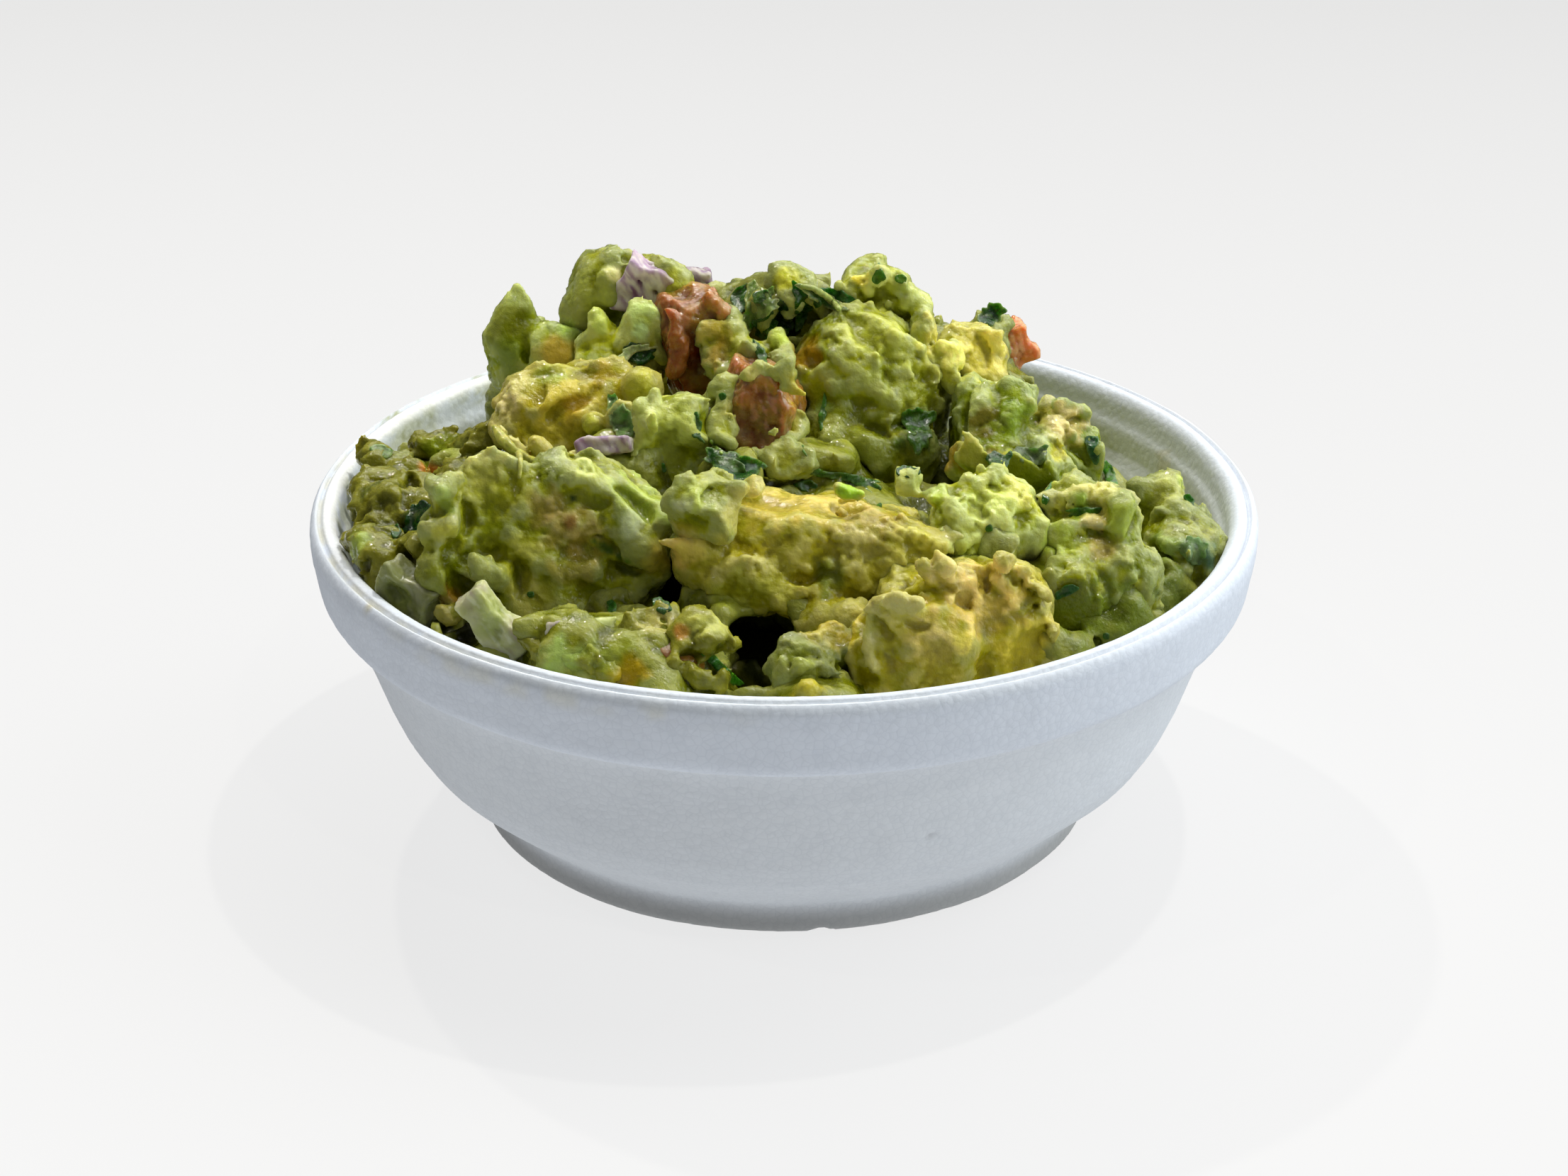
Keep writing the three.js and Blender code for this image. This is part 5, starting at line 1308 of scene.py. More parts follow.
for q in (
    # front left chunk
    (905, 705, 7, (172, 190, 92), 0.6), (676, 660, 4.5, (208, 206, 122), 0.6), (830, 652, 5, (200, 208, 124), 0.6),
    (800, 745, 5, (160, 140, 78), 0.6), (828, 752, 4.5, (162, 140, 74), 0.5), (815, 800, 5, (156, 138, 60), 0.5), (770, 718, 4, (166, 142, 84), 0.6),
    (897, 738, 2.8, (186, 196, 160), 0.6), (748, 838, 5, (180, 172, 84), 0.6), (930, 790, 4, (186, 164, 50), 0.5),
    (838, 764, 0.8, (74, 110, 8), 0.8), (850, 770, 0.9, (70, 106, 8), 0.8), (862, 777, 1.0, (60, 100, 8), 0.85), (874, 785, 1.1, (60, 100, 8), 0.85), (886, 794, 0.9, (70, 106, 8), 0.8), (632, 815, 5, (116, 126, 10), 0.6), (690, 850, 4, (120, 136, 14), 0.5),
    (668, 700, 3, (190, 190, 90), 0.5), (720, 700, 4, (176, 176, 50), 0.5), (806, 738, 1.4, (110, 66, 20), 0.7), (809, 703, 0.9, (20, 50, 24), 0.9),
    (735, 780, 4, (180, 176, 60), 0.5), (700, 790, 5, (150, 152, 20), 0.5), (960, 790, 2.4, (196, 166, 96), 0.6),
    (626, 700, 3.0, (150, 172, 90), 0.6), (626, 751, 2.4, (166, 166, 60), 0.8),
    # small crumpled one and the long yellow one
    (985, 700, 4, (186, 198, 90), 0.5), (962, 715, 1.8, (170, 176, 140), 0.6), (1070, 695, 3, (186, 192, 130), 0.6),
    (1100, 712, 9, (200, 178, 88), 0.65), (1170, 716, 8, (196, 172, 84), 0.6), (1235, 735, 6, (184, 160, 104), 0.6), (1040, 725, 5, (196, 184, 96), 0.5),
    (1171, 812, 4.4, (92, 108, 26), 0.8), (1040, 840, 6, (146, 154, 48), 0.6), (960, 775, 4.5, (192, 164, 84), 0.7), (1000, 780, 5, (190, 182, 80), 0.5),
    (1210, 775, 5, (200, 194, 130), 0.6), (1290, 770, 6, (184, 180, 84), 0.6), (1100, 830, 4, (160, 160, 50), 0.5), (1110, 780, 4, (196, 188, 100), 0.5),
    (1165, 885, 5, (196, 172, 30), 0.7), (1240, 820, 5, (170, 166, 70), 0.5), (1198, 694, 3, (130, 172, 20), 0.85),
    # front right yellow one
    (1380, 845, 8, (212, 184, 104), 0.75), (1440, 905, 6, (216, 196, 60), 0.75), (1356, 905, 3, (222, 206, 84), 0.6), (1320, 900, 5, (196, 176, 110), 0.6),
    (1320, 950, 6, (186, 168, 70), 0.5), (1340, 812, 4, (214, 198, 130), 0.6), (1258, 890, 3, (190, 180, 80), 0.5), (1420, 860, 4, (214, 188, 100), 0.5),
    (1226, 880, 2.6, (150, 160, 60), 0.4),
    # tall ridged one and its peak
    (1138, 500, 4.2, (160, 118, 14), 0.8), (1128, 550, 4, (150, 136, 20), 0.6), (1230, 640, 7, (112, 122, 18), 0.65), (1180, 610, 6, (136, 142, 30), 0.5),
    (1297, 612, 4.2, (48, 84, 20), 0.9), (1298, 584, 2.2, (142, 168, 130), 0.75), (1300, 645, 4, (80, 92, 14), 0.7), (1240, 470, 8, (192, 196, 84), 0.4),
    (1160, 575, 1.6, (150, 190, 90), 0.6), (1240, 410, 6, (176, 180, 44), 0.5), (1218, 395, 2.4, (190, 170, 20), 0.7), (1340, 505, 6, (204, 202, 96), 0.6),
    (1320, 470, 4, (196, 182, 100), 0.5), (1290, 560, 5, (182, 190, 78), 0.4),
    # right
    (1432, 585, 4, (116, 140, 10), 0.7), (1385, 595, 3.6, (104, 92, 10), 0.8), (1500, 600, 5, (196, 178, 120), 0.75), (1470, 615, 3, (180, 190, 140), 0.5),
    (1453, 645, 2.8, (92, 108, 76), 0.8), (1494, 642, 2.6, (200, 192, 50), 0.75), (1400, 640, 2, (160, 120, 90), 0.5), (1370, 640, 3.4, (190, 184, 110), 0.6),
    (1345, 640, 4, (178, 144, 50), 0.7), (1540, 690, 5, (210, 206, 130), 0.6), (1525, 714, 2.8, (96, 130, 6), 0.8), (1584, 735, 4, (140, 156, 36), 0.6),
    (1555, 775, 2.8, (180, 160, 100), 0.75), (1545, 731, 2.2, (190, 176, 110), 0.7), (1500, 690, 4, (190, 196, 120), 0.5), (1500, 765, 4, (160, 180, 60), 0.5),
    (1690, 780, 3.6, (84, 120, 100), 0.85), (1650, 690, 4, (200, 204, 120), 0.5), (1640, 770, 4, (150, 176, 90), 0.4), (1668, 684, 2, (170, 190, 70), 0.7),
    (1400, 710, 5, (178, 190, 110), 0.5), (1380, 770, 5, (166, 180, 70), 0.5), (1325, 698, 2.0, (140, 158, 30), 0.6), (1350, 500, 4, (214, 200, 110), 0.6),
    (1450, 690, 4, (196, 190, 90), 0.5), (1380, 500, 6, (222, 208, 110), 0.6), (1590, 860, 8, (92, 110, 14), 0.6), (1650, 840, 6, (84, 104, 20), 0.6),
    (1560, 880, 8, (100, 116, 20), 0.5), (1500, 880, 6, (120, 134, 30), 0.5),
    # back left
    (800, 560, 8, (186, 168, 50), 0.7), (740, 540, 3, (196, 186, 110), 0.6), (712, 590, 3, (200, 190, 120), 0.6), (800, 524, 3, (160, 160, 60), 0.5), (712, 565, 3.6, (220, 206, 148), 0.85), (812, 574, 3, (166, 124, 22), 0.6), (775, 531, 3, (124, 146, 24), 0.6),
    (850, 528, 2.8, (176, 146, 44), 0.5), (878, 590, 3.2, (110, 134, 84), 0.7), (830, 605, 3, (160, 168, 40), 0.6), (905, 545, 4, (170, 170, 34), 0.6),
    (770, 605, 5, (194, 178, 60), 0.5), (940, 600, 7, (164, 172, 78), 0.5), (985, 592, 1.4, (30, 74, 24), 0.9), (930, 580, 3.4, (184, 190, 134), 0.7), (950, 615, 4, (170, 178, 118), 0.6), (945, 640, 3, (160, 168, 110), 0.5), (1240, 396, 4, (186, 190, 120), 0.5), (1300, 420, 3, (176, 184, 110), 0.5),
    (1370, 745, 5, (170, 180, 120), 0.6), (1410, 760, 4, (174, 182, 124), 0.6),
    (835, 405, 6, (136, 142, 40), 0.6), (866, 385, 1.8, (214, 212, 146), 0.85), (872, 420, 2.2, (84, 42, 8), 0.9), (952, 405, 4, (164, 168, 30), 0.7),
    (720, 455, 6, (104, 106, 8), 0.7), (785, 497, 4.2, (160, 132, 36), 0.75), (720, 500, 4, (86, 104, 10), 0.6), (800, 465, 2.2, (150, 180, 70), 0.6),
    (905, 445, 4, (160, 178, 106), 0.6), (905, 470, 2.2, (150, 176, 130), 0.5), (845, 450, 3.4, (144, 158, 60), 0.5),
    (1000, 470, 3, (176, 150, 60), 0.5), (1034, 584, 3, (176, 168, 90), 0.6), (1044, 620, 3, (182, 178, 116), 0.6), (1022, 470, 3, (160, 142, 40), 0.6), (1008, 500, 3, (168, 130, 40), 0.6),
    (1120, 590, 3, (170, 160, 60), 0.6), (1100, 640, 3, (178, 178, 110), 0.5), (1060, 528, 2, (190, 180, 110), 0.6), (1040, 490, 3, (150, 152, 50), 0.5), (1112, 392, 3, (188, 186, 40), 0.7), (1097, 478, 2.2, (170, 186, 70), 0.8),
    # left and front mash
    (560, 612, 3, (110, 130, 10), 0.7), (612, 632, 2.6, (132, 154, 14), 0.85), (640, 638, 2.6, (176, 186, 90), 0.6), (500, 770, 3.4, (160, 182, 84), 0.7),
    (520, 690, 2.4, (70, 84, 10), 0.7), (585, 735, 3.0, (36, 66, 30), 0.85), (598, 775, 2.4, (140, 144, 40), 0.7), (570, 640, 3, (150, 160, 110), 0.4),
    (575, 700, 3, (124, 124, 40), 0.6), (562, 604, 3, (124, 136, 10), 0.8), (620, 630, 4, (134, 146, 16), 0.8), (610, 667, 2.2, (190, 110, 24), 0.85), (600, 662, 1.4, (196, 120, 40), 0.8),
    (545, 745, 4, (112, 116, 10), 0.6), (600, 800, 4, (100, 104, 0), 0.6), (640, 840, 3, (110, 60, 14), 0.7), (975, 880, 3, (186, 186, 90), 0.6), (1010, 880, 3, (196, 200, 110), 0.6),
    (930, 880, 3, (190, 182, 110), 0.6), (870, 920, 4, (130, 142, 40), 0.5), (890, 950, 3, (196, 160, 14), 0.7), (790, 930, 4, (150, 176, 90), 0.6),
    (840, 920, 3, (120, 134, 40), 0.5), (960, 890, 1.6, (190, 110, 50), 0.6), (1120, 930, 5, (170, 180, 80), 0.5), (1160, 900, 3, (196, 190, 110), 0.5),
    # painted shadow: the near-black dabs on these two lines sit in the hollows between the chunks
    (1140, 960, 4, (186, 170, 30), 0.6), (1084, 911, 6, (36, 38, 8), 0.9), (1060, 940, 4, (30, 44, 14), 0.8), (940, 826, 5, (52, 26, 12), 0.9), (658, 884, 4, (20, 16, 6), 0.9),
    (965, 545, 4.5, (30, 14, 8), 0.85), (1118, 450, 3.2, (16, 40, 20), 0.85), (1280, 662, 2.6, (20, 36, 18), 0.85), (1450, 786, 2.4, (16, 20, 8), 0.85),
):
    dab(*q)


def streaks(V, axis, lam, seed, long=5.0):
    """Noise drawn out along an axis."""
    a = np.asarray(axis, float) / np.linalg.norm(axis)
    return noise(V - np.outer(V @ a, a) * (1 - 1 / long), lam, seed)


TAGS = {  # what a stamp was marked with: colour and how much of it
    1: ((190, 188, 96), 0.6), 2: ((128, 148, 16), 0.6), 3: ((190, 172, 104), 0.7), 5: ((172, 140, 70), 0.8), 9: ((204, 198, 122), 0.6),
}


def vertex_normals(V, Q):
    n = np.cross(V[Q[:, 2]] - V[Q[:, 0]], V[Q[:, 3]] - V[Q[:, 1]])
    N = np.zeros_like(V)
    for i in range(4):
        for k in range(3):
            N[:, k] += np.bincount(Q[:, i], n[:, k], len(V))
    return N / np.maximum(np.linalg.norm(N, axis=1, keepdims=True), 1e-9)


# how much each piece's colour is scaled until it looked as bright as it should: partly its own tone, partly painted
# light and shade
GAIN = {"avocado_10": 1.35, "avocado_5": 1.3, "avocado_6": 1.1, "avocado_7": 1.1, "avocado_9": 1.0, "avocado_2": 1.04, "bits_lime": 1.6, "avocado_15": 1.55, "avocado_13": 0.7, "onion_3": 0.45, "onion_2": 0.9, "onion_1": 1.45,
        "tomato_1": 1.02, "tomato_2": 1.25, "tomato_3": 1.2, "bits_left": 0.76, "bits_front": 0.85, "mash": 0.85, "avocado_12": 1.4,
        "avocado_11": 1.05, "avocado_16": 1.15, "bits_top": 1.1, "avocado_8": 0.9, "avocado_1": 0.95, "avocado_17": 0.85, "avocado_18": 0.85, "avocado_19": 0.85, "avocado_20": 0.85,
        "avocado_21": 0.85, "bits_far": 1.1, "tomato_5": 0.8}


def paint(name, F, V, N):
    mid, mid2, pale, dark = (lin(c) for c in STYLE[KIND.get(name, "green")])
    seed = sum(map(ord, name)) * 11
    m1 = max(1, int(round(0.8 / F.h)))
    m2 = max(2, int(round(2.0 / F.h)))
    dd = np.clip(F.d, -3, 3)
    c1 = F.at(V, box_blur(box_blur(dd, m1), m1), 0.0)
    c2 = F.at(V, box_blur(dd, m2), 0.0)
    n1, n2, n3 = noise(V, 9, seed), noise(V, 3.4, seed + 1), noise(V, 1.3, seed + 2)
    t = smooth(-0.6, 0.6, 0.7 * n1 + 0.7 * n2)[:, None]
    col = mix(mid, mid2, t)
    kind = KIND.get(name, "green")
    if kind == "onion_red":
        w = streaks(V, (0.45, -0.3, -0.85), 1.5, seed + 7)
        w2 = streaks(V, (0.45, -0.3, -0.85), 0.8, seed + 8)
        col = mix(lin((118, 80, 124)), lin((180, 172, 168)), smooth(-0.5, 0.7, 0.7 * w + 0.5 * w2 + 0.2 * n2)[:, None])
        col = mix(col, lin((176, 178, 120)), 0.5 * smooth(0.2, 0.7, n1)[:, None])
    elif kind == "onion_pale":
        w = streaks(V, (0.6, -0.1, -0.7), 1.3, seed + 7)
        col = mix(col, lin((220, 222, 196)), 0.5 * smooth(0.15, 0.5, w)[:, None])
        col = mix(col, lin((150, 116, 140)), 0.65 * smooth(0.15, 0.7, n1 - 0.2 * w)[:, None] * (name != "onion_3"))
        col = mix(col, lin((176, 190, 96)), 0.6 * smooth(0.0, 0.6, -n1)[:, None])
    elif name == "tomato_3":
        w = streaks(V, (0.2, 0.1, -1.0), 1.1, seed + 7)
        col = mix(lin((186, 112, 62)), lin((204, 152, 108)), smooth(-0.4, 0.5, w + 0.5 * n2)[:, None])
    elif kind == "tomato":
        w = streaks(V, (0.2, 0.1, -1.0), 1.1, seed + 7)
        # painted shade: the dice are darker red towards the bottom
        b = (V[:, 2] - V[:, 2].min()) / max(np.ptp(V[:, 2]), 1e-6)
        col = mix(lin((112, 34, 2)), lin((128, 78, 26)), smooth(0.1, 0.7, b + 0.35 * n1)[:, None])
        right = smooth(-0.8, 2.2, V[:, 0] - V[:, 0].mean() + 2.4 * n1)[:, None]
        col = mix(col, lin((150, 118, 32)), 0.8 * right)
        if name == "tomato_2":
            col = mix(col, lin((112, 84, 40)), 0.6 * smooth(-0.3, 0.5, n1)[:, None] + 0.25)
        # pale pink streaks on the upper part only: partly the flesh's colour, partly painted highlight
        col = mix(col, lin((178, 128, 112)), (0.6 if name == "tomato_2" else 0.25) * smooth(0.2, 0.55, w + 0.3 * n3)[:, None] * smooth(0.2, 0.6, b)[:, None])
    for tag, (c, w) in TAGS.items():
        q = F.at_tag(V) == tag
        if q.any():
            col[q] = mix(col[q], lin(c), w)
    # painted highlight: convex places are mixed towards the pale colour
    up = smooth(-0.03, 0.26, c1 + 0.5 * c2 + 0.05 * n3 + 0.03 * n2)[:, None]
    flat_ = kind in ("tomato", "onion_red", "onion_pale")
    col = mix(col, pale, (0.2 if flat_ else 0.42) * up)
    speck = smooth(0.42, 0.75, noise(V, 1.15, seed + 3))[:, None] * smooth(-0.2, 0.5, n2)[:, None]
    col = mix(col, pale * 1.05, (0.15 if flat_ else 0.4) * speck)
    # painted shade: hollows and creases are mixed towards the dark colour
    down = smooth(0.0, 0.28, -(c1 + 0.5 * c2) + 0.05 * n2)[:, None]
    col = mix(col, dark, 0.62 * down)
    # painted shade: places the food encloses are darkened further
    o = tri(OCC2, V + N * 1.0) * 0.5 + tri(OCC6, V + N * 1.5) * 0.5
    col = mix(col, dark * 0.8, 0.75 * smooth(0.52, 0.9, o)[:, None])
    # colour dabs; on each, convex places come out lighter, a painted highlight
    for p, rad, c, s in ZONES:
        D = np.linalg.norm(V - p, axis=1)
        near = D < rad * 1.5
        if near.any():
            w = s * smooth(1.0, 0.35, D[near] / rad + 0.35 * n2[near])
            if flat_:
                w = w * 0.35
            col[near] = mix(col[near], lin(c) * (0.8 + 0.55 * up[near] + 0.15 * n3[near, None]), w[:, None])
    g = GAIN.get(name, 1.0)
    # painted shade and light: avocado_4 is darker low down and lighter at the top
    if name == "avocado_4":
        g = mix(0.75, 1.2, smooth(60, 72, V[:, 2]))[:, None]
    col = col * g
    # painted shade: away from the convex places the blue is cut, so the shade reads deep and saturated
    if not flat_:
        col[:, 2] *= mix(0.62, 1.0, smooth(0.1, 0.6, up[:, 0]))
    wet = 0.33 + 0.16 * noise(V, 5, seed + 5) + 0.1 * n2 + 0.15 * smooth(0.55, 0.85, o)
    return np.clip(col, 0, 1), np.clip(wet, 0.12, 0.8)


# ---------------------------------------------------------------- meshes
def new_mesh(name, V, faces, attrs=None, mats=(), index=None):
    """V in mm; faces a list of arrays of triangles or quads."""
    faces = [np.asarray(f, np.int64) for f in faces if len(f)]
    me = bpy.data.meshes.new(name)
    me.vertices.add(len(V))
    me.vertices.foreach_set("co", (np.asarray(V, np.float64) * 0.001).astype(np.float32).ravel())
    loops = np.concatenate([f.ravel() for f in faces]).astype(np.int32)
    sizes = np.concatenate([np.full(len(f), f.shape[1]) for f in faces])
    starts = np.concatenate([[0], np.cumsum(sizes)[:-1]]).astype(np.int32)
    me.loops.add(len(loops))
    me.polygons.add(len(sizes))
    me.loops.foreach_set("vertex_index", loops)
    me.polygons.foreach_set("loop_start", starts)
    me.polygons.foreach_set("use_smooth", np.ones(len(sizes), bool))
    for m in mats:
        me.materials.append(m)
    if index is not None:
        me.polygons.foreach_set("material_index", np.asarray(index, np.int32))
    me.update(calc_edges=True)
    for key, a in (attrs or {}).items():
        a = np.asarray(a, np.float32)
        if a.ndim == 2:
            at_ = me.attributes.new(key, "FLOAT_COLOR", "POINT")
            at_.data.foreach_set("color", np.concatenate([a, np.ones((len(a), 1), np.float32)], 1).ravel())
        else:
            at_ = me.attributes.new(key, "FLOAT", "POINT")
            at_.data.foreach_set("value", a)
    me.validate()
    ob = bpy.data.objects.new(name, me)
    scene.collection.objects.link(ob)
    return ob


class Nodes:
    def __init__(s, name):
        s.m = bpy.data.materials.new(name)
        s.m.use_nodes = True
        s.t = s.m.node_tree
        s.t.nodes.clear()
        s.out = s.t.nodes.new("ShaderNodeOutputMaterial")
        s.p = s.t.nodes.new("ShaderNodeBsdfPrincipled")
        s.t.links.new(s.p.outputs[0], s.out.inputs[0])
        s.tc = s.t.nodes.new("ShaderNodeTexCoord")

    def node(s, kind, **kw):
        n = s.t.nodes.new(kind)
        for k, v in kw.items():
            if hasattr(n, k):
                setattr(n, k, v)
            else:
                n.inputs[k].default_value = v
        return n

    def link(s, a, b):
        s.t.links.new(a, b)

    def noise(s, per_m, detail=3.0, rough=0.55, dist=0.0):
        n = s.node("ShaderNodeTexNoise")
        n.inputs["Scale"].default_value = per_m
        n.inputs["Detail"].default_value = detail
        n.inputs["Roughness"].default_value = rough
        n.inputs["Distortion"].default_value = dist
        s.link(s.tc.outputs["Object"], n.inputs["Vector"])
        return n.outputs["Fac"]

    def cells(s, per_m, feature="F1", rand=1.0):
        n = s.node("ShaderNodeTexVoronoi")
        n.feature = feature
        n.inputs["Scale"].default_value = per_m
        n.inputs["Randomness"].default_value = rand
        s.link(s.tc.outputs["Object"], n.inputs["Vector"])
        return n.outputs["Distance"]

    def ramp(s, fac, a, b, va=0.0, vb=1.0):
        n = s.node("ShaderNodeMapRange")
        n.interpolation_type = "SMOOTHSTEP"
        s.link(fac, n.inputs["Value"])
        for k, v in (("From Min", a), ("From Max", b), ("To Min", va), ("To Max", vb)):
            n.inputs[k].default_value = v
        return n.outputs["Result"]

    def math(s, op, a, b=None):
        n = s.node("ShaderNodeMath")
        n.operation = op
        for i, x in enumerate((a, b)):
            if x is None:
                continue
            if isinstance(x, (int, float)):
                n.inputs[i].default_value = x
            else:
                s.link(x, n.inputs[i])
        return n.outputs[0]

    def attr(s, name, what="Color"):
        n = s.node("ShaderNodeAttribute")
        n.attribute_name = name
        return n.outputs[what]

    def mixc(s, fac, a, b, blend="MIX"):
        n = s.node("ShaderNodeMix")
        n.data_type = "RGBA"
        n.blend_type = blend
        for i, x in ((0, fac), (6, a), (7, b)):
            if isinstance(x, (int, float)):
                n.inputs[i].default_value = x
            elif isinstance(x, (tuple, list, np.ndarray)):
                n.inputs[i].default_value = (*[float(y) for y in x][:3], 1.0)
            else:
                s.link(x, n.inputs[i])
        return n.outputs[2]

    def bump(s, height, dist, strength=1.0, prev=None):
        n = s.node("ShaderNodeBump")
        n.inputs["Distance"].default_value = dist
        n.inputs["Strength"].default_value = strength
        s.link(height, n.inputs["Height"])
        if prev is not None:
            s.link(prev, n.inputs["Normal"])
        return n.outputs["Normal"]


def food_material(name, coat=0.7, sss=0.42, scale=0.0021, grain=0.00006, spec=0.12, radius=(0.9, 0.75, 0.14), blot=(0.12, 0.13, 0.01)):
    s = Nodes(name)
    p = s.p
    col = s.attr("col")
    fine = s.noise(1500, 3.0, 0.6)
    veins = s.noise(420, 4.0, 0.62, 0.5)
    col = s.mixc(s.ramp(veins, 0.54, 0.7, 0.0, 0.4), col, s.mixc(0.55, col, blot, "MULTIPLY"))
    col = s.mixc(s.ramp(veins, 0.44, 0.28, 0.0, 0.22), col, s.mixc(0.5, col, (0.5, 0.52, 0.1), "SCREEN"))
    col = s.mixc(s.ramp(fine, 0.3, 0.75, 0.0, 0.2), col, (0.62, 0.62, 0.1), "SOFT_LIGHT")
    s.link(col, p.inputs["Base Color"])
    wet = s.attr("wet", "Fac")
    r = s.math("ADD", wet, s.ramp(fine, 0.35, 0.7, -0.1, 0.12))
    s.link(s.math("MAXIMUM", r, 0.14), p.inputs["Roughness"])
    p.inputs["Subsurface Weight"].default_value = sss
    p.inputs["Subsurface Radius"].default_value = radius
    p.inputs["Subsurface Scale"].default_value = scale
    p.inputs["Coat Weight"].default_value = coat
    p.inputs["Coat Roughness"].default_value = 0.09
    p.inputs["Coat IOR"].default_value = 1.34
    p.inputs["Specular IOR Level"].default_value = spec
    h1 = s.noise(900, 3.0, 0.6)
    h2 = s.cells(1500)
    n = s.bump(h1, grain * 3.6, 1.0)
    n = s.bump(s.math("MULTIPLY", h2, -1.0), grain, 0.6, n)
    s.link(n, p.inputs["Normal"])
    # the wet film over it glints in patches
    patch = s.ramp(s.noise(170, 2.0, 0.5), 0.42, 0.62, 0.15, 1.0)
    drops = s.math("MULTIPLY", s.math("MULTIPLY", s.cells(1250), -1.0), patch)
    s.link(s.bump(drops, 0.00028, 1.0, n), p.inputs["Coat Normal"])
    return s.m


MASH_M = food_material("mash")
GREEN_M = food_material("avocado_green")
YELLOW_M = food_material("avocado_yellow")
TOMATO_M = food_material("tomato", coat=0.85, sss=0.75, scale=0.0045, grain=0.00004, spec=0.4, radius=(1.0, 0.4, 0.1), blot=(0.4, 0.08, 0.0))
ONION_M = food_material("onion_red", coat=0.5, sss=0.45, scale=0.003, grain=0.00003, radius=(1.0, 0.85, 0.9), blot=(0.3, 0.16, 0.3))
PALE_M = food_material("onion_pale", coat=0.6, sss=0.5, scale=0.003, grain=0.00003, radius=(1.0, 1.0, 0.7), blot=(0.5, 0.6, 0.3))

COUNT = {}


def make(name, fields, mat, nodes):
    VV, QQ, CC, WW, n0 = [], [], [], [], 0
    for f in fields:
        F = FIELDS[f]
        V, Q = F.mesh()
        N = vertex_normals(V, Q)
        a = 0.07 + 0.05 * noise(V, 6, 91)
        V = V + N * (a * noise(V, 1.15, 92))[:, None]
        c, w = paint(f, F, V, N)
        VV.append(V), QQ.append(Q + n0), CC.append(c), WW.append(w)
        n0 += len(V)
    V, Q = np.concatenate(VV), np.concatenate(QQ)
    ob = new_mesh(name, V, [Q], {"col": np.concatenate(CC), "wet": np.concatenate(WW)}, [mat])
    COUNT[name] = 2 * len(Q)
    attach(ob, BODY)
    if nodes:
        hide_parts(*nodes)
    return ob


GROUPS = {
    "chunks_front_left": ["avocado_1", "avocado_14"],
    "chunks_middle": ["avocado_4", "avocado_5", "avocado_10"],
    "chunks_right": ["avocado_6", "avocado_7", "avocado_8", "avocado_15"],
    "chunks_low": ["avocado_13", "avocado_11", "avocado_12", "bits_lime"],
    "chunks_yellow": ["avocado_2", "avocado_3", "avocado_9", "avocado_16"],
    "chunks_far": ["avocado_17", "avocado_18", "avocado_19", "avocado_20", "avocado_21"],
}
for g, names in GROUPS.items():
    yellow = g == "chunks_yellow"
    make(g, names, YELLOW_M if yellow else GREEN_M, [n for n in names if n in BLOCKS])
make("mash_heap", ["mash"], MASH_M, ["guacamole"])
make("mash_curds", ["bits_front", "bits_left", "bits_top", "bits_back"], MASH_M, [])
make("mash_curds_far", ["bits_far"], MASH_M, [])
make("tomato_chips", ["chips_tomato"], TOMATO_M, [])
make("onion_chips", ["chips_onion"], PALE_M, [])
make("tomato_dice", [n for n in BLOCKS if n.startswith("tomato")], TOMATO_M, [n for n in BLOCKS if n.startswith("tomato")])
make("onion_purple", ["onion_1", "onion_4", "onion_6"], ONION_M, ["onion_1", "onion_4", "onion_6"])
make("onion_white", ["onion_2", "onion_3", "onion_5"], PALE_M, ["onion_2", "onion_3", "onion_5"])
stamp_time("food meshes " + json.dumps(COUNT) + " total %d" % sum(COUNT.values()))

# what fills the bowl below the heap, closed, just into the wall
def make_fill():
    z = np.concatenate([[6.0], np.linspace(6.6, 33.0, 23)])
    R = wall_in(z) + 0.4
    R[0] = 43.5
    n = 144
    f = np.arange(n) * 2 * math.pi / n
    V = np.stack([R[:, None] * np.cos(f), R[:, None] * np.sin(f), np.repeat(z[:, None], n, 1)], -1).reshape(-1, 3)
    i = np.arange(len(z) * n).reshape(len(z), n)
    a, b = i[:-1], i[1:]
    Q = np.stack([a, np.roll(a, -1, 1), np.roll(b, -1, 1), b], -1).reshape(-1, 4)
    c0, c1 = len(V), len(V) + 1
    V = np.concatenate([V, [[0, 0, z[0]], [0, 0, z[-1]]]])
    T = np.concatenate([np.stack([np.full(n, c0), np.roll(i[0], -1), i[0]], 1), np.stack([np.full(n, c1), i[-1], np.roll(i[-1], -1)], 1)])
    col = np.tile(lin(STYLE["mash"][0]), (len(V), 1))
    ob = new_mesh("mash_fill", V, [Q, T], {"col": col, "wet": np.full(len(V), 0.4)}, [MASH_M])
    COUNT["mash_fill"] = 2 * len(Q) + len(T)
    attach(ob, BODY)


make_fill()


# leaves and stems as one piece
def make_herbs():
    VV, TT, CC, n0 = [], [], [], 0
    for V, T, c in HERBS:
        VV.append(V), TT.append(T + n0), CC.append(c)
        n0 += len(V)
    T = np.concatenate(TT)
    m = food_material("cilantro", coat=0.35, sss=0.3, scale=0.0012, grain=0.00004, spec=0.25, radius=(0.4, 1.0, 0.2), blot=(0.1, 0.3, 0.06))
    C = np.clip(np.concatenate(CC) * (0.82, 0.8, 0.5), 0, 1)
    ob = new_mesh("cilantro", np.concatenate(VV), [T], {"col": C, "wet": np.full(len(C), 0.3)}, [m])
    COUNT["cilantro"] = len(T)
    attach(ob, BODY)


make_herbs()

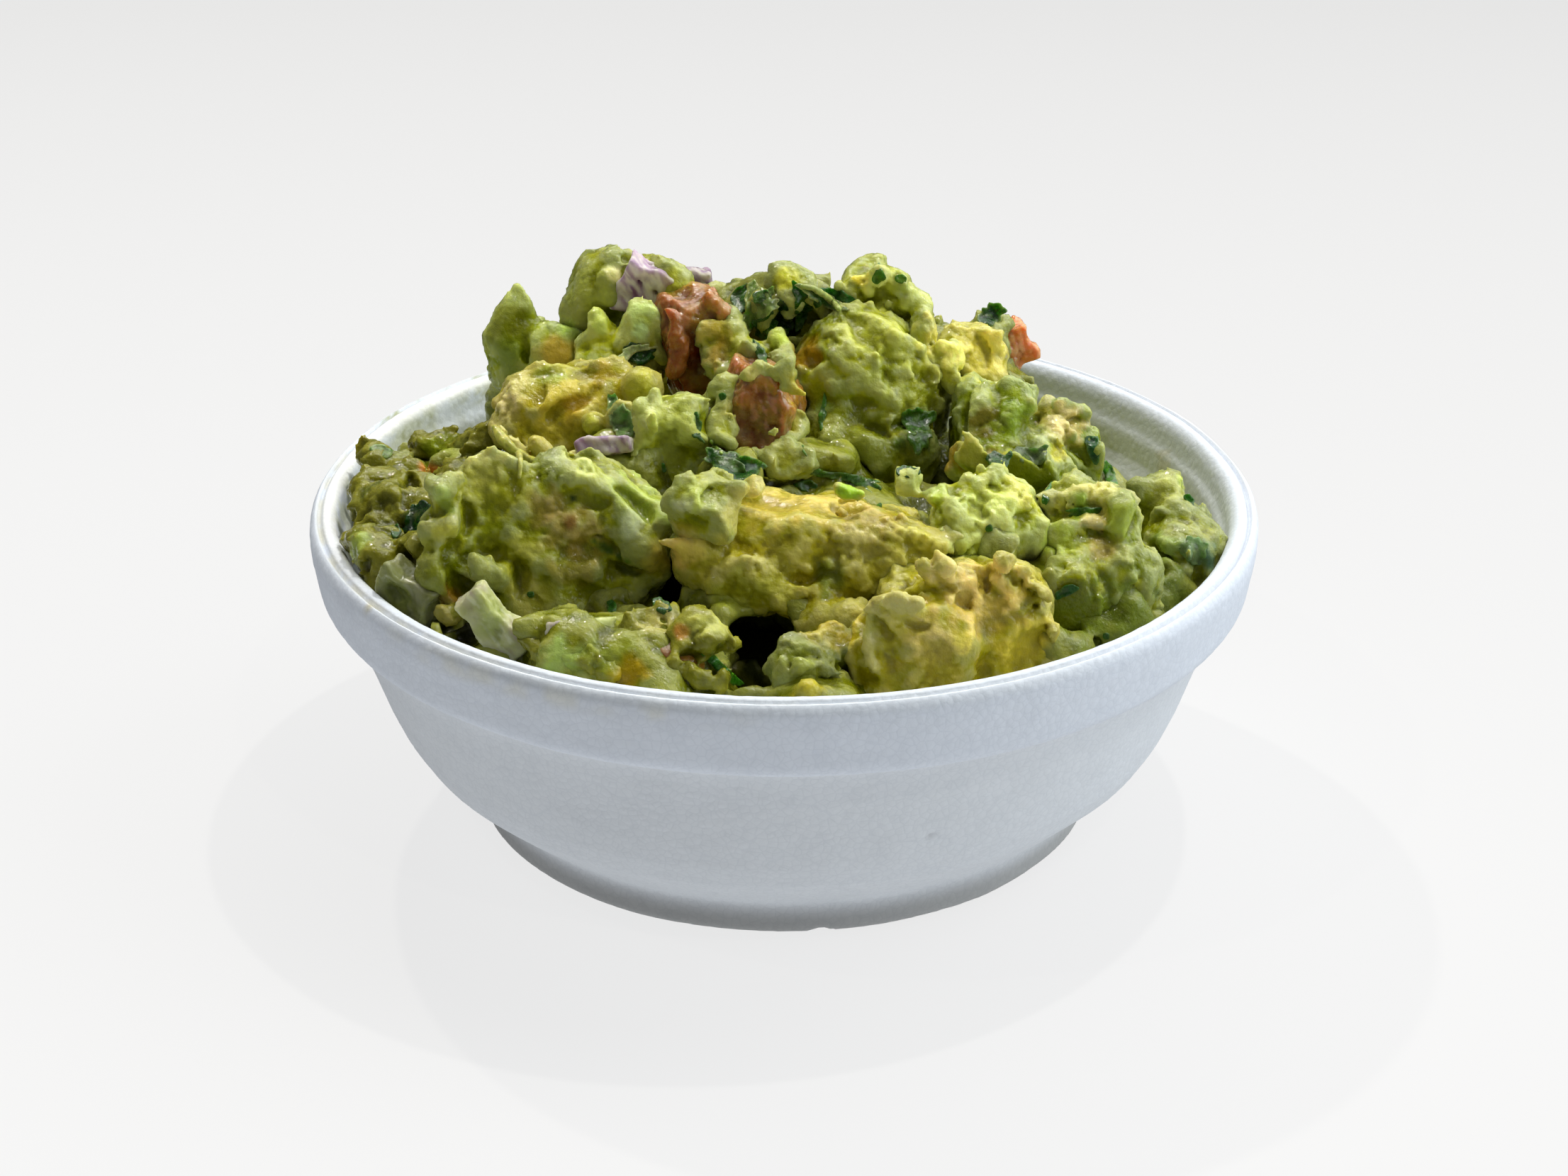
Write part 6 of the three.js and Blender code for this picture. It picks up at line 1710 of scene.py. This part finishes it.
# ---------------------------------------------------------------- the foam bowl
PROFILE = [
    (0, 1.6), (43.4, 1.6), (44.3, 1.0), (44.6, 0.0), (50.0, 0.0), (50.3, 0.5), (50.55, 5.2), (51.3, 6.1),
    (55.9, 9.9), (60.5, 14.2), (63.2, 18.5), (64.9, 22.7), (66.3, 27.0), (67.8, 31.5), (69.4, 36.0),
    (70.6, 38.7), (72.5, 39.3), (73.5, 40.1), (73.9, 41.2), (74.95, 48.2), (74.7, 48.7), (74.95, 49.4), (74.85, 50.3),
    (74.5, 50.95), (74.0, 51.35), (73.7, 51.4), (73.5, 50.75), (73.1, 50.7), (72.85, 51.4), (72.5, 51.6), (72.0, 51.7), (71.2, 51.45), (70.45, 50.6), (70.1, 49.4), (69.7, 47.3),
    (68.9, 46.5), (68.6, 44.3), (68.4, 42.0), (67.2, 40.8), (66.6, 38.0), (64.8, 31.5), (63.3, 27.0), (61.8, 22.0),
    (60.2, 17.6), (57.6, 13.4), (53.1, 9.3), (48.5, 7.2), (44.0, 6.2), (0, 6.2),
]


def bowl_line():
    pts = np.array(PROFILE, float)
    out, tight = [], []
    for a, b in zip(pts, pts[1:]):
        L = float(np.linalg.norm(b - a))
        seen = min(a[0], b[0]) > 44.2 and (a[1] + b[1]) / 2 < 52 and not (max(a[1], b[1]) < 40.9 and len(out) and tight[-1] == 2)
        zone = 1 if min(a[0], b[0]) > 44.0 else 0
        if len(tight) and tight[-1] >= 1 and b[1] < 40.9 and len(out) > 120:
            zone = 2
        step = {0: 6.0, 1: 0.52, 2: 2.6}[zone]
        n = max(1, int(round(L / step)))
        for i in range(n):
            out.append(a + (b - a) * i / n)
            tight.append(zone)
    out.append(pts[-1])
    out = np.array(out)
    keep = out.copy()
    for _ in range(3):          # rounds the corners as moulded foam has them
        sm = out.copy()
        sm[1:-1] = 0.25 * out[:-2] + 0.5 * out[1:-1] + 0.25 * out[2:]
        far = np.linalg.norm(np.diff(out, axis=0), axis=1).max() > 1.2
        big = np.zeros(len(out), bool)
        seg = np.linalg.norm(np.diff(out, axis=0), axis=1)
        big[1:-1] = (seg[:-1] > 0.8) | (seg[1:] > 0.8)
        big |= (out[:, 0] > 72.7) & (out[:, 0] < 74.1) & (out[:, 1] > 50.4)
        sm[big] = out[big]
        out = sm
    out[0], out[-1] = keep[0], keep[-1]
    return out


def build_bowl():
    line = bowl_line()
    line[:, 0] *= 74.93 / line[:, 0].max()
    line[:, 1] = np.maximum(line[:, 1], 0.0)
    n, m = (360), len(line)
    ang = np.arange(n) * 2 * math.pi / n
    ring = line[1:-1]
    R, Zc = ring[:, 0], ring[:, 1]
    V = np.zeros((len(ring), n, 3))
    V[:, :, 0] = R[:, None] * np.cos(ang)
    V[:, :, 1] = R[:, None] * np.sin(ang)
    V[:, :, 2] = Zc[:, None]
    V = V.reshape(-1, 3)
    k = len(ring)
    idx = np.arange(k * n).reshape(k, n)
    a, b = idx[:-1], idx[1:]
    Q = np.stack([a, np.roll(a, -1, 1), np.roll(b, -1, 1), b], -1).reshape(-1, 4)
    c0, c1 = len(V), len(V) + 1
    V = np.concatenate([V, [[0, 0, line[0, 1]], [0, 0, line[-1, 1]]]])
    T = np.concatenate([
        np.stack([np.full(n, c0), np.roll(idx[0], -1), idx[0]], 1),
        np.stack([np.full(n, c1), idx[-1], np.roll(idx[-1], -1)], 1),
    ])
    N = vertex_normals(V, Q)
    flat = V[:, 2] < 0.05
    d = 0.03 * noise(V, 1.5, 301) + 0.02 * noise(V, 0.9, 302) + 0.08 * noise(V, 24, 303)
    d -= 0.035
    # a missing bead and a few smaller pits
    rs = np.random.default_rng(8)
    pits = [(wall_hit(1316, 1179), 0.95, 0.5), (wall_hit(1190, 1082), 0.5, 0.2)]
    for _ in range(26):
        f, z = rs.uniform(0, 2 * math.pi), rs.uniform(12, 46)
        rr = np.interp(z, [9.9, 14.2, 18.5, 27, 36, 40.1, 48], [55.9, 60.5, 63.2, 66.3, 69.4, 73.5, 74.9])
        pits.append((np.array([rr * math.cos(f), rr * math.sin(f), z]), rs.uniform(0.35, 0.6), rs.uniform(0.08, 0.2)))
    for p, rad, depth in pits:
        D = np.linalg.norm(V - p, axis=1)
        d -= depth * smooth(1.0, 0.2, D / rad)
    d[flat] = 0
    V = V + N * d[:, None]
    V[:, 2] = np.maximum(V[:, 2], 0.0)
    # the nick in the foot's front edge
    x = (V[:, 0] - 5.6) / 1.75
    w = (np.abs(x) < 1) & (V[:, 1] < -43) & (V[:, 2] < 3)
    lift = 0.95 * np.sqrt(np.maximum(1 - x * x, 0)) * smooth(46.5, 48.5, -V[:, 1])
    V[w, 2] = np.maximum(V[w, 2], lift[w])
    # colour: clean foam, then what the food has left on it, and painted shade and painted light on the lip, the pits
    # and the foot
    base = lin((214, 222, 233))
    col = np.tile(base, (len(V), 1))
    col *= (1 + 0.012 * noise(V, 3.0, 305) + 0.012 * noise(V, 12, 306))[:, None]
    az = np.degrees(np.arctan2(V[:, 1], V[:, 0]))
    Rv = np.hypot(V[:, 0], V[:, 1])
    z = V[:, 2]
    n1, n2 = noise(V, 7, 311), noise(V, 2.0, 312)

    def arc(a0, a1, soft=8.0):
        mid, half = (a0 + a1) / 2, (a1 - a0) / 2
        t = np.abs((az - mid + 180) % 360 - 180)
        return smooth(half + soft, half - soft, t)

    # lays a colour over the foam: a real food stain in some places, painted shade and painted light in others
    def stain_and_painted_light(w, c, s):
        nonlocal col
        col = mix(col, lin(c), (np.clip(w, 0, 1) * s)[:, None])

    top = z > 48.0
    groove = smooth(0.6, 0.2, np.abs(Rv - 73.3)) * top
    stain_and_painted_light(groove * arc(158, 238, 14) * smooth(-0.75, 0.1, n1 + 0.4 * n2), (204, 192, 130), 0.4)
    stain_and_painted_light(groove * arc(100, 300, 20) * smooth(-0.2, 0.6, n1), (210, 206, 170), 0.3)
    # painted shade: the groove is greyed all round
    stain_and_painted_light(groove, (170, 176, 186), 0.35)
    inner = smooth(71.9, 70.9, Rv) * (z > 44.0)
    stain_and_painted_light(inner * arc(150, 236, 12) * smooth(-0.5, 0.4, n1 + 0.5 * n2), (194, 198, 136), 0.45)
    stain_and_painted_light(inner * arc(236, 300, 10) * smooth(0.1, 0.7, n1 + 0.3 * n2), (196, 196, 130), 0.55)
    stain_and_painted_light(inner * arc(118, 142, 5) * smooth(-0.3, 0.5, n1 + 0.5 * n2), (160, 162, 86), 0.55)
    edge = smooth(74.2, 74.7, Rv) * smooth(47.0, 49.5, z)
    stain_and_painted_light(edge * arc(222, 262, 10) * smooth(-0.2, 0.5, n1), (218, 214, 180), 0.3)
    for u, v, rad, c, s in [
        (522, 854, 1.3, (186, 172, 100), 0.6), (566, 585, 4.0, (140, 146, 62), 0.7), (600, 572, 3.0, (150, 156, 80), 0.6),
        (678, 530, 2.6, (150, 152, 84), 0.7), (640, 548, 2.4, (170, 170, 110), 0.5), (1640, 660, 3.0, (200, 192, 160), 0.5),
    ]:
        p = rim_hit(u, v)
        D = np.linalg.norm((V - p) * np.array([1, 1, 0.6]), axis=1)
        stain_and_painted_light(smooth(1.0, 0.2, D / rad + 0.5 * n2) * (z > 40), c, s)
    # painted shade: the inner lip top at the front is greyed
    stain_and_painted_light(smooth(49.5, 50.6, z) * smooth(70.6, 71.4, Rv) * arc(232, 308, 14), (196, 203, 210), 0.55)
    # painted shadow: the foot is darkened low down, where it stands on the floor
    stain_and_painted_light(smooth(6.5, 2.0, z) * smooth(40, 44, Rv), (134, 136, 140), 0.85)
    # the inner wall below the rim is tinted a little warmer and darker
    below = smooth(52, 44, z) * smooth(71.5, 70.5, Rv)
    stain_and_painted_light(below, (216, 216, 204), 0.2)
    # painted light: the inner lip top on the left is lightened
    stain_and_painted_light(smooth(50.2, 50.9, z) * smooth(73.0, 72.6, Rv) * arc(120, 200, 20), (240, 242, 240), 0.8)
    # painted shade: the missing bead and the larger pit are greyed inside
    for p, rad, depth in pits[:2]:
        D = np.linalg.norm(V - p, axis=1)
        stain_and_painted_light(smooth(0.9, 0.1, D / rad), (150, 150, 152), 0.6)
    wet = np.full(len(V), 0.62)

    s = Nodes("foam")
    c = s.attr("col")
    cell = s.cells(760, "F1")
    edge_ = s.cells(760, "DISTANCE_TO_EDGE")
    fine = s.noise(2600, 2.0, 0.6)
    soft = s.noise(300, 3.0, 0.6)
    c = s.mixc(s.ramp(edge_, 0.0, 0.12, 0.22, 0.0), c, s.mixc(1.0, c, (0.74, 0.76, 0.79), "MULTIPLY"))
    c = s.mixc(s.ramp(soft, 0.42, 0.66, 0.0, 0.12), c, s.mixc(1.0, c, (0.8, 0.82, 0.84), "MULTIPLY"))
    s.link(c, s.p.inputs["Base Color"])
    s.link(s.ramp(fine, 0.3, 0.7, 0.5, 0.68), s.p.inputs["Roughness"])
    s.p.inputs["Subsurface Weight"].default_value = 0.12
    s.p.inputs["Subsurface Radius"].default_value = (1.0, 1.0, 1.0)
    s.p.inputs["Subsurface Scale"].default_value = 0.002
    s.p.inputs["Specular IOR Level"].default_value = 0.35
    b = s.bump(s.ramp(cell, 0.0, 0.75, 1.0, 0.0), 0.00007, 0.8)
    b = s.bump(fine, 0.00005, 0.7, b)
    s.link(b, s.p.inputs["Normal"])
    ob = new_mesh("foam_bowl", V, [Q, T], {"col": np.clip(col, 0, 1)}, [s.m])
    COUNT["foam_bowl"] = 2 * len(Q) + len(T)
    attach(ob, BODY)
    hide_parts("bowl")


def march(u, v, inside):
    """First point on a line of sight where the test turns true."""
    d = ray(u, v)
    t = np.arange(300, 620, 0.1)
    P = CAM + t[:, None] * d
    i = np.flatnonzero(inside(P))
    return P[i[0]] if len(i) else CAM + 480 * d


OUT = np.array([(0, 50.3), (5.2, 50.5), (9.9, 55.9), (14.2, 60.5), (18.5, 63.2), (22.7, 64.9), (27, 66.3), (31.5, 67.8),
                (36, 69.4), (38.7, 70.6), (40.1, 73.5), (48.2, 74.9), (51.6, 73.8)])


def wall_hit(u, v):
    return march(u, v, lambda P: (P[:, 2] > 0) & (P[:, 2] < 51.6) & (np.hypot(P[:, 0], P[:, 1]) < np.interp(P[:, 2], OUT[:, 0], OUT[:, 1])))


def rim_hit(u, v):
    def inside(P):
        R = np.hypot(P[:, 0], P[:, 1])
        return (P[:, 2] > 0) & (P[:, 2] < 51.6) & (R < np.interp(P[:, 2], OUT[:, 0], OUT[:, 1])) & (R > wall_in(P[:, 2]))
    return march(u, v, inside)


build_bowl()
stamp_time("bowl " + json.dumps(COUNT) + " total %d" % sum(COUNT.values()))

# ---------------------------------------------------------------- camera, floor, light
cam = bpy.data.cameras.new("camera")
cam.sensor_width = 36.0
cam.lens = 36.0 * FOCAL / 2212.0
cam.clip_start, cam.clip_end = 0.01, 20.0
co = bpy.data.objects.new("camera", cam)
co.location = CAM * 0.001
co.rotation_euler = (PITCH, 0, 0)
scene.collection.objects.link(co)
scene.camera = co

floor = new_mesh("floor", np.array([(-6000, -6000, 0), (6000, -6000, 0), (6000, 6000, 0), (-6000, 6000, 0)], float), [[(0, 1, 2, 3)]])
fm = Nodes("floor")
fm.p.inputs["Base Color"].default_value = (0.11, 0.11, 0.11, 1)
fm.p.inputs["Roughness"].default_value = 0.9
fm.p.inputs["Specular IOR Level"].default_value = 0.0
fm.p.inputs["Emission Color"].default_value = (1, 1, 1, 1)
xyz = fm.node("ShaderNodeSeparateXYZ")
fm.link(fm.tc.outputs["Object"], xyz.inputs[0])
fm.link(fm.ramp(xyz.outputs["Y"], -0.3, 1.2, 0.78, 0.50), fm.p.inputs["Emission Strength"])
floor.data.materials.append(fm.m)
floor.visible_glossy = False


def lamp(name, az, el, angle, strength, col):
    """A wide soft sky panel far away: azimuth from +X, elevation and width in degrees."""
    d = bpy.data.lights.new(name, "SUN")
    d.angle = math.radians(angle)
    d.energy = strength
    d.color = col
    o = bpy.data.objects.new(name, d)
    a, e = math.radians(az), math.radians(el)
    v = Vector((math.cos(a) * math.cos(e), math.sin(a) * math.cos(e), math.sin(e)))
    o.location = v * 2.0
    o.rotation_euler = (-v).to_track_quat("-Z", "Y").to_euler()
    scene.collection.objects.link(o)


lamp("top", 58, 47, 72, 2.2, (0.975, 0.99, 1.0))
lamp("side", 4, 24, 60, 1.95, (0.93, 0.98, 1.0))
lamp("left", 175, 30, 70, 0.05, (1.0, 0.98, 0.95))


def small(name, loc, size, power, col):
    d = bpy.data.lights.new(name, "AREA")
    d.shape = "DISK"
    d.size = size
    d.energy = power
    d.color = col
    o = bpy.data.objects.new(name, d)
    o.location = loc
    o.rotation_euler = (Vector((0, 0, 0.06)) - Vector(loc)).to_track_quat("-Z", "Y").to_euler()
    scene.collection.objects.link(o)


small("spark_1", (-0.35, 0.65, 0.9), 0.03, 5.2, (1.0, 0.95, 0.86))
small("spark_2", (0.30, 0.25, 1.1), 0.03, 5.2, (1.0, 0.96, 0.9))
small("spark_3", (0.25, -0.55, 0.8), 0.02, 0.7, (1.0, 0.95, 0.85))
small("spark_4", (-0.5, -0.3, 0.9), 0.02, 0.7, (1.0, 0.95, 0.85))
w = bpy.data.worlds.new("studio")
w.use_nodes = True
bg = w.node_tree.nodes["Background"]
bg.inputs["Color"].default_value = (0.98, 0.99, 1.0, 1)
bg.inputs["Strength"].default_value = 0.08
scene.world = w
scene.view_settings.view_transform = "Standard"
scene.view_settings.look = "None"

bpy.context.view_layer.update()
stamp_time("scene")
